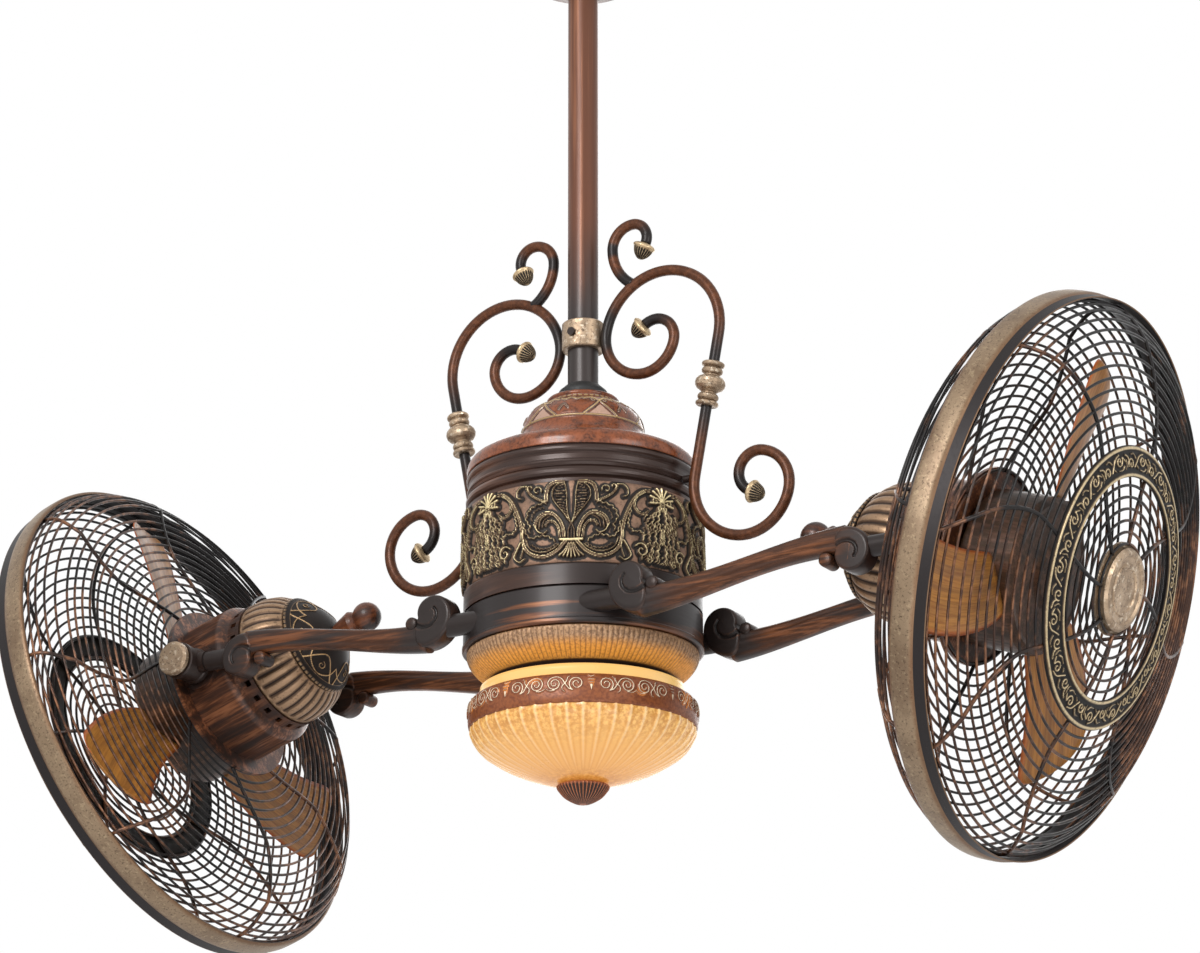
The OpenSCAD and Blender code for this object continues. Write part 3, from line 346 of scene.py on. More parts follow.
def build_groups():
    """The effects that several finishes share."""
    def streaks(n, i):
        """Hand-rubbed streaks: long thin noise, broken by a wide slow noise."""
        stretched = n.scaled(i["Vector"], i["Along"])
        fine = n.noise(stretched, 420.0, 3.0, 0.6)
        grain = n.noise(stretched, 110.0, 4.0, 0.55, 0.3)
        slow = n.noise(i["Vector"], i["Patch"], 1.0, 0.4)
        mask = n.plus(n.times(grain, 0.55), n.times(slow, 0.9))
        mask = n.ramp(mask, 0.52, 0.92)
        return [mask, n.times(fine, grain)]

    def speckle(n, i):
        """Fine antique specks: dark pits and pale rubbed points at two scales."""
        dark = n.ramp(n.noise(i["Vector"], i["Scale"], 6.0, 0.7), 0.47, 0.36)
        pale = n.ramp(n.noise(i["Vector"], n.times(i["Scale"], 0.53), 5.0, 0.65), 0.54, 0.66)
        return [dark, pale]

    def worn(n, i):
        """Rubbed edges: sharp outward corners, broken by noise."""
        edge = n.ramp(n.new("ShaderNodeNewGeometry").outputs["Pointiness"], 0.51, 0.58)
        broken = n.ramp(n.noise(i["Vector"], i["Scale"], 4.0, 0.6), 0.3, 0.6)
        return [n.times(n.times(edge, broken), i["Amount"])]

    def dust(n, i):
        """A breath of dust where the surface faces up."""
        normal = n.new("ShaderNodeNewGeometry").outputs["Normal"]
        up = n.ramp(n.split(normal)["Z"], 0.3, 1.0)
        patchy = n.ramp(n.noise(i["Vector"], 40.0, 4.0), 0.35, 0.75)
        return [n.times(n.times(up, patchy), i["Amount"])]

    new_group("Rubbed streaks", [("Vector", "vector", None), ("Along", "vector", (1, 1, 0.05)),
                                 ("Patch", "value", 6.0)], [("Mask", "value"), ("Grain", "value")], streaks)
    new_group("Speckle", [("Vector", "vector", None), ("Scale", "value", 400.0)],
              [("Dark", "value"), ("Pale", "value")], speckle)
    new_group("Worn edges", [("Vector", "vector", None), ("Scale", "value", 120.0), ("Amount", "value", 1.0)],
              [("Mask", "value")], worn)
    new_group("Dust", [("Vector", "vector", None), ("Amount", "value", 0.1)], [("Mask", "value")], dust)


def material(name, build, **sockets):
    """A material with one Principled shader; build(nodes) returns what feeds its sockets."""
    made = bpy.data.materials.new(name)
    made.use_nodes = True
    made.node_tree.nodes.clear()
    n = Nodes(made.node_tree)
    shader = n.new("ShaderNodeBsdfPrincipled", sockets)
    for key, value in build(n).items():
        made.node_tree.links.new(value, shader.inputs[key])
    out = n.new("ShaderNodeOutputMaterial")
    made.node_tree.links.new(shader.outputs[0], out.inputs["Surface"])
    return made


def rubbed_bronze(name, matrix=None, along=(1, 1, 0.06), dark="1f1918", brown="4d2b1a", bright="875639",
                  low=0.25, high=0.8, patch=7.0, metallic=0.35, roughness=0.38, fade=None):
    """Brown paint rubbed over black bronze, in streaks that run along one axis of the piece's frame.

    fade = (dark, bright): the brown comes in between these two levels on Z."""
    def build(n):
        vector = n.place(matrix)
        streak = n.group("Rubbed streaks", {"Vector": vector, "Along": along, "Patch": patch})
        rub = n.ramp(streak["Mask"], low, high)
        if fade:
            waver = n.plus(n.times(n.noise(vector, 12.0, 3.0), 0.03), -0.015)
            rub = n.times(rub, n.ramp(n.plus(n.split(vector)["Z"], waver), *fade))
        color = n.mix(rub, paint(dark), paint(brown))
        color = n.mix(n.times(n.ramp(streak["Grain"], 0.2, 0.38), rub), color, paint(bright))
        rough = n.ramp(streak["Grain"], 0.1, 0.5, roughness + 0.1, roughness - 0.05)
        return {"Base Color": color, "Roughness": rough,
                "Normal": n.bump(streak["Grain"], 0.12, 0.0006)}
    return material(name, build, Metallic=metallic, **{"Coat Weight": 0.2, "Coat Roughness": 0.22,
                                                       "Specular IOR Level": 0.3})


def champagne(name):
    """Speckled antique champagne metal."""
    def build(n):
        vector = n.place()
        speck = n.group("Speckle", {"Vector": vector, "Scale": 420.0})
        mottle = n.ramp(n.noise(vector, 60.0, 4.0), 0.35, 0.65)
        color = n.mix(n.times(mottle, 0.45), paint("b29a80"), paint("3a2a1e"))
        color = n.mix(n.times(speck["Dark"], 0.75), color, paint("3a2a1e"))
        color = n.mix(n.times(speck["Pale"], 0.6), color, paint("e6d8c2"))
        return {"Base Color": color, "Roughness": n.ramp(mottle, 0.0, 1.0, 0.32, 0.52),
                "Normal": n.bump(speck["Dark"], 0.25, 0.0003)}
    return material(name, build, Metallic=0.75)


def carved(name, ground, shade_and_pits, body, crest, metallic, roughness, bounds):
    """A carved relief: a rubbed ground, painted shade darkening the recesses round the carving, and bright
    crests.

    The mesh carries the height of the carving, from 0 to 1, in its tone attribute. bounds are the tones where
    the painted shade is full, and where the body colour starts, is full, and has gone over to the crest's."""
    def build(n):
        vector = n.place()
        tone = n.tone()
        speck = n.group("Speckle", {"Vector": vector, "Scale": 380.0})
        flat = n.mix(n.times(n.ramp(n.noise(vector, 70.0, 4.0), 0.4, 0.7), 0.6), paint(ground), paint(shade_and_pits))
        # Painted shade: the dark colour covers the flanks of the carving and the strip beside each line. The
        # same colour is also used for the real dark specks below.
        color = n.mix(n.ramp(tone, bounds[0] - 0.1, bounds[0]), flat, paint(shade_and_pits))
        rubbed = n.plus(tone, n.times(n.noise(vector, 220.0, 3.0), 0.18))
        color = n.mix(n.ramp(rubbed, bounds[1], bounds[2]), color, paint(body))
        color = n.mix(n.ramp(rubbed, bounds[2], bounds[3]), color, paint(crest))
        color = n.mix(n.times(speck["Dark"], 0.5), color, paint(shade_and_pits))
        return {"Base Color": color, "Roughness": n.ramp(rubbed, 0.3, 1.0, roughness + 0.2, roughness)}
    return material(name, build, Metallic=metallic)


def plain(name, color, metallic, roughness):
    """A quiet finish with a fine mottle and a little dust."""
    def build(n):
        vector = n.place()
        mottle = n.noise(vector, 500.0, 4.0)
        deeper = tuple(c * 0.72 for c in paint(color)[:3]) + (1.0,)
        shade = n.mix(n.ramp(mottle, 0.3, 0.7), paint(color), deeper)
        shade = n.mix(n.group("Dust", {"Vector": vector, "Amount": 0.08})["Mask"], shade, paint("8d8478"))
        return {"Base Color": shade,
                "Roughness": n.ramp(mottle, 0.2, 0.8, roughness - 0.06, roughness + 0.08),
                "Normal": n.bump(mottle, 0.1, 0.0002)}
    return material(name, build, Metallic=metallic)


def dress(node, finish):
    """Gives a solid its finish."""
    NODES[node].data.materials.clear()
    NODES[node].data.materials.append(finish)


# ---------- sizes and colours ----------

class FanFinish(bpy.types.PropertyGroup):
    """The colours and the light that a user would change."""
    walnut: bpy.props.FloatVectorProperty(name="Walnut", description="Rubbed brown of the arms",
                                          subtype="COLOR", size=4, default=paint("3f2415"))
    glow: bpy.props.FloatProperty(name="Glow", description="Strength of the lit glass", default=1.0,
                                  min=0.0, max=4.0, unit="NONE")


class FanShape(bpy.types.PropertyGroup):
    """Sizes of the carved and moulded detail."""
    relief: bpy.props.FloatProperty(name="Band relief", description="Height of the band's carving",
                                    default=3.2 * MM, unit="LENGTH")
    flutes: bpy.props.IntProperty(name="Glass flutes", description="Flutes round the glass bowl", default=44)
    pan_ribs: bpy.props.IntProperty(name="Pan ribs", description="Ribs round the light pan", default=132)
    reeds: bpy.props.IntProperty(name="Dome reeds", description="Reeds round each motor dome", default=36)
    ribs: bpy.props.IntProperty(name="Grille ribs", description="Bent ribs in each grille", default=8)
    blade_chord: bpy.props.FloatProperty(name="Blade chord", description="Chord of a blade at its tip",
                                         default=84 * MM, unit="LENGTH")


class FAN_OT_finishes(bpy.types.Operator):
    """Paint the solids that stay in view"""
    bl_idname = "fan.finishes"
    bl_label = "Paint the solids"

    def execute(self, context):
        build_groups()
        level = (0.05, 0.05, 1)
        clamp_top = z_range("scroll_clamp")[1]
        dark_metal = plain("Dark bronze paint", "2a1d18", 0.35, 0.4)
        for node in NODES:
            dress(node, dark_metal)
        for finish, nodes in (
                (plain("Ground steel", "8f8d8a", 0.9, 0.32),
                 "coupling centre_shaft ring_bearings drive_rotor hanger_ball ceiling_bracket"),
                (champagne("Speckled champagne"), "scroll_clamp scroll_fittings pull_knob_right "
                 "pull_knob_left ceiling_screws right_medallion left_medallion"),
                (plain("Motor windings", "5a3a22", 0.5, 0.5),
                 "drive_stator right_motor_stator left_motor_stator"),
                (plain("Ivory lamp holder", "e6dfcf", 0.0, 0.35), "lamp_holders"),
                (plain("Slip ring brass", "a8843c", 0.9, 0.35), "slip_ring"),
                (plain("Black rubber", "121212", 0.0, 0.6), "rod_boot"),
                (rubbed_bronze("Dark mouldings", along=level, dark="34241e", brown="54382b", bright="6c4a39",
                               low=0.1, high=0.8, patch=5.0, roughness=0.34), "crown canopy"),
                (rubbed_bronze("Dark base ring", along=level, dark="241a17", brown="3c271e", bright="4f3427",
                               low=0.3, high=1.0, patch=5.0, roughness=0.36), "base_ring"),
                (rubbed_bronze("Turning ring", along=level, dark="272120", brown="5c3521", bright="865535",
                               low=0.34, high=0.84, patch=6.0), "turning_ring"),
                (rubbed_bronze("Walnut rod", along=(1, 1, 0.02), dark="332c2a", brown="5e3826",
                               bright="7d4f36", low=-0.3, high=0.3, patch=3.0,
                               fade=(clamp_top, clamp_top + 0.11)), "downrod")):
            for node in nodes.split():
                dress(node, finish)
        for side in SIDES:
            head = HEAD[side]
            dress(f"{side}_motor_housing", rubbed_bronze(
                f"Motor housing {side}", head, (1, 1, 0.08), dark="261b17", low=-0.1, high=0.5, patch=5.0,
                fade=(-0.06, -0.01)))
            dress(f"{side}_fan_rotor", rubbed_bronze(
                f"Fan drum {side}", head, (1, 1, 0.1), dark="2b1e18", brown="46301f", bright="5e4030",
                low=-0.1, high=0.7, patch=4.0))
            dress(f"{side}_handle", rubbed_bronze(
                f"Handle wood {side}", head, (1, 1, 0.1), dark="24120b", brown="4f2a18", bright="6a3c24",
                metallic=0.0))
        return {"FINISHED"}


# ---------- carving ----------

def ridges(x, y, curves):
    """Height of carved lines over a flat pattern.

    A curve is (points, half width at its start, half width at its end, height). A line's section is half
    round, height * sqrt(1 - (distance / half width)^2), and where lines cross the higher one shows."""
    x, y = np.broadcast_arrays(x, y)
    top = np.zeros(x.shape)
    for points, first, last, rise in curves:
        p = np.asarray(points, float)
        run = np.diff(p, axis=0)
        away = np.stack([x, y], -1)[..., None, :] - p[:-1]
        along = np.clip((away * run).sum(-1) / np.maximum((run ** 2).sum(-1), 1e-9), 0, 1)
        gap = np.linalg.norm(away - along[..., None] * run, axis=-1)
        width = first + (last - first) * (np.arange(len(run)) + along) / len(run)
        top = np.maximum(top, (rise * bead(gap, width)).max(-1))
    return top


def shade_beside_lines(x, y, curves, spread):
    """The strip that runs beside each carved line, from 0 to 1, which the finishes darken as painted shade.
    """
    return ridges(x, y, [(p, a + spread, b + spread, 1.0) for p, a, b, _ in curves])


def mirrored(half, repeats):
    """Carries a half pattern round the ring; its first and last columns are its mirror lines."""
    return np.tile(np.concatenate([half[:, :-1], half[:, :0:-1]], 1), (1, repeats))


def offset(line, distance):
    """A line moved sideways by a distance, along its normals."""
    return line + distance * normals(line)


def moulded(points, half, rise=0.6, thin=0.5, count=18):
    """A low round band with a sharp line along each of its edges."""
    line = bend(points, count)
    return [(line, half, half * 0.8, rise), (offset(line, half * 0.8), thin, thin * 0.8, 1.0),
            (offset(line, -half * 0.8), thin, thin * 0.8, 0.95)]


def ragged(points, waves, swing, half=0.55, rise=0.95, count=40):
    """A leaf's scalloped edge: a smooth line that swings from side to side."""
    line = bend(points, count)
    phase = np.abs(np.sin(np.linspace(0, math.pi * waves, count))) - 0.5
    return [(line + normals(line) * swing * phase[:, None], half, half, rise)]


def rungs(a, b, count, shift=0.0, half=0.5, rise=0.85):
    """Feathering: short strokes from one line to another."""
    a, b = bend(a, 40), bend(b, 40)
    out = []
    for i in range(count):
        t = (i + 0.5) / count
        p, q = a[int(39 * t)], b[int(39 * min(max(t + shift, 0), 1))]
        out.append((np.array([p, (p + q) / 2 + [0.25, 0.4], q]), half, half * 0.6, rise))
    return out


def curl(centre, start, end, first, turns, count=26, half=0.6, rise=1.0):
    """A spiral: its radius goes from start to end while it turns, in degrees, from the angle first."""
    t = np.linspace(0, 1, count)
    angle = np.radians(first + turns * t)
    radius = start + (end - start) * t
    points = np.stack([centre[0] + radius * np.cos(angle), centre[1] + radius * np.sin(angle)], -1)
    return (points, half, half * 0.8, rise)


def band_carving(x, y):
    """Half a repeat of the body band's ornament: x from the plain V to the palmette, in millimetres."""
    leaf_back = [(9.9, 68.4), (15.4, 63.3), (16.0, 55.7), (12.3, 49.2), (6.3, 41.6), (1.4, 34.1)]
    v_edge = [(5.9, 69.4), (4.1, 60.8), (3.6, 50.6), (3.0, 41.7), (0.4, 32.9)]
    curves = [(bend(v_edge), 0.6, 0.6, 0.9), (bend(leaf_back), 0.6, 0.5, 0.9)]
    curves += rungs([(9.2, 66.5), (12.8, 60), (12.2, 53), (8.6, 46), (3.4, 36)], v_edge, 13, 0.06)
    curves += rungs(leaf_back, [(9.5, 66), (12.0, 60), (11.6, 53), (8.0, 46), (3.0, 37)], 9, 0.05, 0.45, 0.6)
    curves += moulded([(6.3, 69.6), (13.6, 69.2), (19.0, 66.0), (21.1, 59.6), (21.2, 52.6)], 1.5)
    curves += moulded([(21.4, 52.0), (26.3, 54.1), (32.5, 57.7), (37.5, 62.6), (39.7, 68.0)], 0.9, 0.7, 0.4)
    curves += [(bend([(39.7, 68.0), (43.9, 68.2), (47.8, 64.9), (48.2, 59.4), (44.5, 57.7)]), 0.7, 0.5, 1.0),
               curl((29.6, 62.8), 4.2, 1.2, 200, -330), curl((35.8, 66.0), 2.6, 0.8, -60, 300)]
    curves += ragged([(21.4, 51.4), (27.6, 50.4), (33.7, 48.2), (37.5, 44.0), (38.6, 37.7), (35.4, 33.0),
                      (36.8, 27.4)], 7, 1.8)
    curves += ragged([(23.0, 47.5), (29.5, 46.0), (33.5, 42.0), (34.4, 37.0)], 5, 1.2, 0.45, 0.8)
    curves += moulded([(5.9, 20.7), (6.9, 28.9), (10.5, 36.5), (16.6, 41.9), (23.3, 41.9), (28.8, 38.3),
                       (31.2, 32.1)], 1.3)
    curves += moulded([(9.6, 20.7), (10.6, 28.4), (14.1, 34.0), (19.2, 35.0), (22.3, 31.0)], 0.9, 0.5, 0.45)
    curves += [(bend([(31.2, 32.1), (28.1, 26.9), (23.2, 25.1), (20.4, 27.4)]), 0.8, 0.5, 1.0),
               (bend([(20.4, 41.0), (26.3, 36.9), (27.5, 29.4)]), 0.6, 0.5, 0.9),
               (bend([(17.0, 40.5), (23.0, 36.4), (24.8, 30.4)]), 0.5, 0.5, 0.8)]
    curves += moulded([(4.4, 17.6), (6.9, 14.9), (12.3, 9.3), (22.0, 5.3), (31.8, 6.8), (39.3, 12.5),
                       (42.5, 20.4), (43.1, 29.3), (45.7, 39.8), (49.7, 49.1), (55.1, 58.1), (62.7, 64.2),
                       (69.1, 65.5)], 1.35, 0.65, 0.5, 48)
    inside = [(10.5, 15.1), (14.3, 12.0), (22.0, 9.3), (30.5, 10.3), (36.8, 14.5), (39.6, 22.0)]
    curves += [(bend(inside, 24), 0.6, 0.6, 0.9)]
    curves += ragged([(12.3, 16.0), (17.0, 12.6), (23.0, 11.6), (30.0, 13.0), (35.0, 17.0)],
                     8, 1.4, 0.45, 0.85)
    curves += ragged([(13.5, 17.5), (18.4, 21.4), (23.2, 22.8), (28.7, 22.8), (33.7, 21.5), (38.0, 24.4),
                      (40.6, 30.3), (41.9, 36.8)], 8, 1.7)
    curves += [([(-1.0, 18.3), (9.3, 18.8)], 1.5, 1.4, 1.15), ([(-0.5, 19.0), (-0.5, 30.0)], 0.8, 0.6, 0.9),
               (bend([(2.6, 20.5), (2.4, 27.0), (0.6, 32.0)]), 0.7, 0.6, 0.8)]
    curves += [(bend([(a * 0.25, 16.0), (a * 0.55, 9.5), (a, 3.6 + abs(a) * 0.16)], 8), 0.45, 1.1, 0.9)
               for a in (0.0, 3.4, 6.8, 10.2)]
    # The palmette, the curls beside it and the leaves that fall from it
    curves += moulded([(64.1, 64.0), (57.1, 59.3), (53.7, 52.2), (56.3, 46.2), (63.2, 44.3), (67.3, 47.9)],
                      1.0, 0.6, 0.45)
    curves += [(bend([(81.5, 57.5), (81.5 - 5.5 * math.sin(a), 57.5 + 7 * math.cos(a)),
                      (81.5 - 12.5 * math.sin(a), 57.5 + 12.5 * math.cos(a))], 8), 0.5, 1.35, 1.1)
               for a in (0.0, 0.42, 0.84, 1.26, 1.75)]
    curves += [curl((74.6, 57.4), 3.4, 0.9, 60, 400, half=0.7), curl((78.4, 52.6), 2.6, 0.8, 0, -320)]
    for i in range(7):
        foot, way = 81.5 - 3.0 * i, (-1) ** i
        leaf = [(80.8 - 0.8 * i, 56.0 - 1.2 * i), (foot + 1.4 * way, 43 - i), (foot - 1.6 * way, 29 - i),
                (foot + 1.2 * way, 16 - 0.5 * i), (foot - 0.6, 3.5 + 0.4 * i)]
        curves += ragged(leaf, 9 + i % 3, 2.1, 0.6, 1.0 - 0.03 * i, 60)
    for i in range(13):
        x0, y0 = 80.2 - 1.4 * i, 50 - (i * 17.0) % 41
        curves.append((bend([(x0, y0), (x0 - 2.4, y0 - 2.0), (x0 - 2.6, y0 - 5.8)], 8), 0.7, 0.3, 0.95))
    curves += ragged([(51.0, 46.7), (49.0, 40.1), (48.1, 33.7), (52.9, 28.1), (58.3, 28.9), (63.8, 25.9)],
                     8, 1.6)
    curves += [(bend([(44.4, 19.3), (48.5, 12.8), (50.8, 7.3), (45.6, 3.0), (40.9, 5.2)]), 0.9, 0.6, 1.0),
               (bend([(43.1, 28.0), (42.2, 14.0), (45.0, 5.4)]), 0.7, 0.6, 0.9),
               curl((60.6, 12.6), 6.6, 1.0, 150, -480, half=0.8), curl((68.0, 5.4), 3.2, 0.8, 90, -400)]
    return ridges(x, y, curves), shade_beside_lines(x, y, curves, 2.6)


def scroll_carving(x, y):
    """Running scrolls of a half repeat of the glass's band: x from the drop to the middle, in millimetres."""
    wave = [(15.1, 3.2), (18.4, 4.6), (21.3, 8.8), (24.4, 13.2), (28.6, 15.0), (33.2, 13.6), (35.3, 10.4)]
    curves = [curl((12.0, 8.6), 6.2, 1.4, -60, 600, 40, 0.75), (bend(wave, 26), 0.75, 0.75, 1.0),
              curl((30.0, 8.8), 5.5, 1.3, 16, -560, 40, 0.75),
              (bend([(21.3, 8.8), (23.6, 6.4), (23.6, 3.6), (21.6, 1.8)]), 0.75, 0.45, 1.0),
              (bend([(21.3, 8.8), (19.6, 11.8), (19.3, 14.0), (17.3, 15.6)]), 0.75, 0.45, 1.0),
              (bend([(30.0, 3.2), (34.0, 3.0), (38.2, 5.4)]), 0.7, 0.5, 0.95),
              ([(0.0, 15.0), (2.6, 16.4)], 0.7, 0.5, 1.0), ([(0.0, 12.4), (2.2, 12.4)], 0.6, 0.6, 1.0),
              ([(0.0, 9.9), (1.6, 9.9)], 0.6, 0.6, 0.95), ([(0.0, 7.2), (0.0, 3.4)], 1.7, 0.5, 1.0)]
    return ridges(x, y, curves), shade_beside_lines(x, y, curves, 0.8)


def ring_carving(x, y, repeat, width):
    """Leafy scrolls of the ring on a grille: x along one repeat, y across the ring from its inner edge."""
    k = width / 16
    s = repeat / 2
    curves = [curl((s * 0.5, 6.2 * k), 4.6 * k, 0.8 * k, 200, -430, 26, 0.8 * k),
              curl((s * 1.5, 9.8 * k), 4.6 * k, 0.8 * k, 20, -430, 26, 0.8 * k)]
    # Each leaf: its points as (share of half a repeat, distance), first and last half width, height, count
    for points, first, last, rise, count in (
            (((-1.2 / s, 13.6), (0.22, 11.0), (0.30, 7.4)), 0.7, 0.8, 1.0, 18),
            (((0.82, 4.2), (1, 8.0), (1.2, 12.4), (1.5, 14.4)), 0.8, 0.6, 1.0, 18),
            (((1.78, 11.6), (2, 8.0), (2.1, 4.4)), 0.8, 0.6, 1.0, 18),
            (((0.9, 10.4), (0.72, 13.4), (0.5, 13.2)), 0.9, 0.4, 0.9, 18),
            (((1.9, 5.2), (1.72, 2.8), (1.4, 2.8)), 0.9, 0.4, 0.9, 18),
            (((1.06, 5.0), (1.2, 3.2)), 0.9, 0.4, 0.9, 6),
            (((0.06, 9.4), (0.12, 5.0), (0.02, 2.6)), 0.7, 0.5, 0.9, 18)):
        curves.append((bend(np.array(points) * [s, k], count), first * k, last * k, rise))
    return ridges(x, y, curves), shade_beside_lines(x, y, curves, 0.7 * k)


# ---------- bars and rings ----------

def tube(path, radius, sides):
    """A round bar along a path that never runs along Z. Its ends are closed."""
    ahead = np.gradient(path, axis=0)
    ahead /= np.linalg.norm(ahead, axis=1)[:, None]
    one = np.cross(ahead, (0, 0, 1))
    one /= np.linalg.norm(one, axis=1)[:, None]
    two = np.cross(ahead, one)
    angle = np.linspace(0, TAU, sides, endpoint=False)[None, :, None]
    body = path[:, None] + radius * (np.cos(angle) * one[:, None] + np.sin(angle) * two[:, None])
    caps = np.repeat(path[[0, -1], None], sides, 1)
    return np.concatenate([caps[:1], body, caps[1:]])


def hoop(radius, level, wire, steps=144, sides=6):
    """A ring of round wire: a circle of the wire's radius carried round the axis."""
    angle = np.linspace(0, TAU, sides, endpoint=False) + TAU / (2 * sides)
    return turned(np.stack([radius + wire * np.cos(angle), level + wire * np.sin(angle)], -1), steps)


# ---------- cages ----------

BAND_AT, BAND_HALF = 72.3, 9.5           # the cage band's middle, out from the tilt axis, and half its width
SHOULDER_REAR, SHOULDER_FRONT, RIM = 197.0, 199.0, 219.9
FRONT_IN, REAR_IN = 36.0, 78.0


def front_at(r):
    """Level of the front grille: a shallow paraboloid inside the shoulder, a sloped wall outside it."""
    return np.where(r <= SHOULDER_FRONT, 138 - 32 * (r / SHOULDER_FRONT) ** 2,
                    np.interp(r, [SHOULDER_FRONT, RIM], [106, 79]))


def rear_at(r):
    """Level of the rear grille, likewise."""
    share = (SHOULDER_REAR ** 2 - r ** 2) / (SHOULDER_REAR ** 2 - REAR_IN ** 2)
    return np.where(r <= SHOULDER_REAR, 35 - 13.3 * share, np.interp(r, [SHOULDER_REAR, RIM], [35, 66]))


def wall(shoulder, ends, t):
    """The grille's wall between its shoulder and the band, bulging a little."""
    radius = shoulder + (RIM - shoulder) * (t + 0.28 * np.sin(math.pi * t))
    return np.stack([radius, ends[0] + (ends[1] - ends[0]) * t], -1)


def grille_lines(front):
    """The profile line of a grille, as [radius, level] points, and the places of its wires."""
    if front:
        at, shoulder, ends, hole = front_at, SHOULDER_FRONT, (106, 79), FRONT_IN
        wires = np.concatenate([np.linspace(109.5, shoulder, 11), np.linspace(hole, 90, 7)])
    else:
        at, shoulder, ends, hole = rear_at, SHOULDER_REAR, (35, 66), REAR_IN
        wires = np.linspace(hole, shoulder, 15)
    r = np.linspace(hole - 1, shoulder, 30)
    rings = np.concatenate([np.stack([wires, at(wires)], -1), wall(shoulder, ends, np.arange(1, 6) / 5)])
    line = np.concatenate([np.stack([r, at(r)], -1), wall(shoulder, ends, np.arange(1, 11) / 10)])
    return line, rings


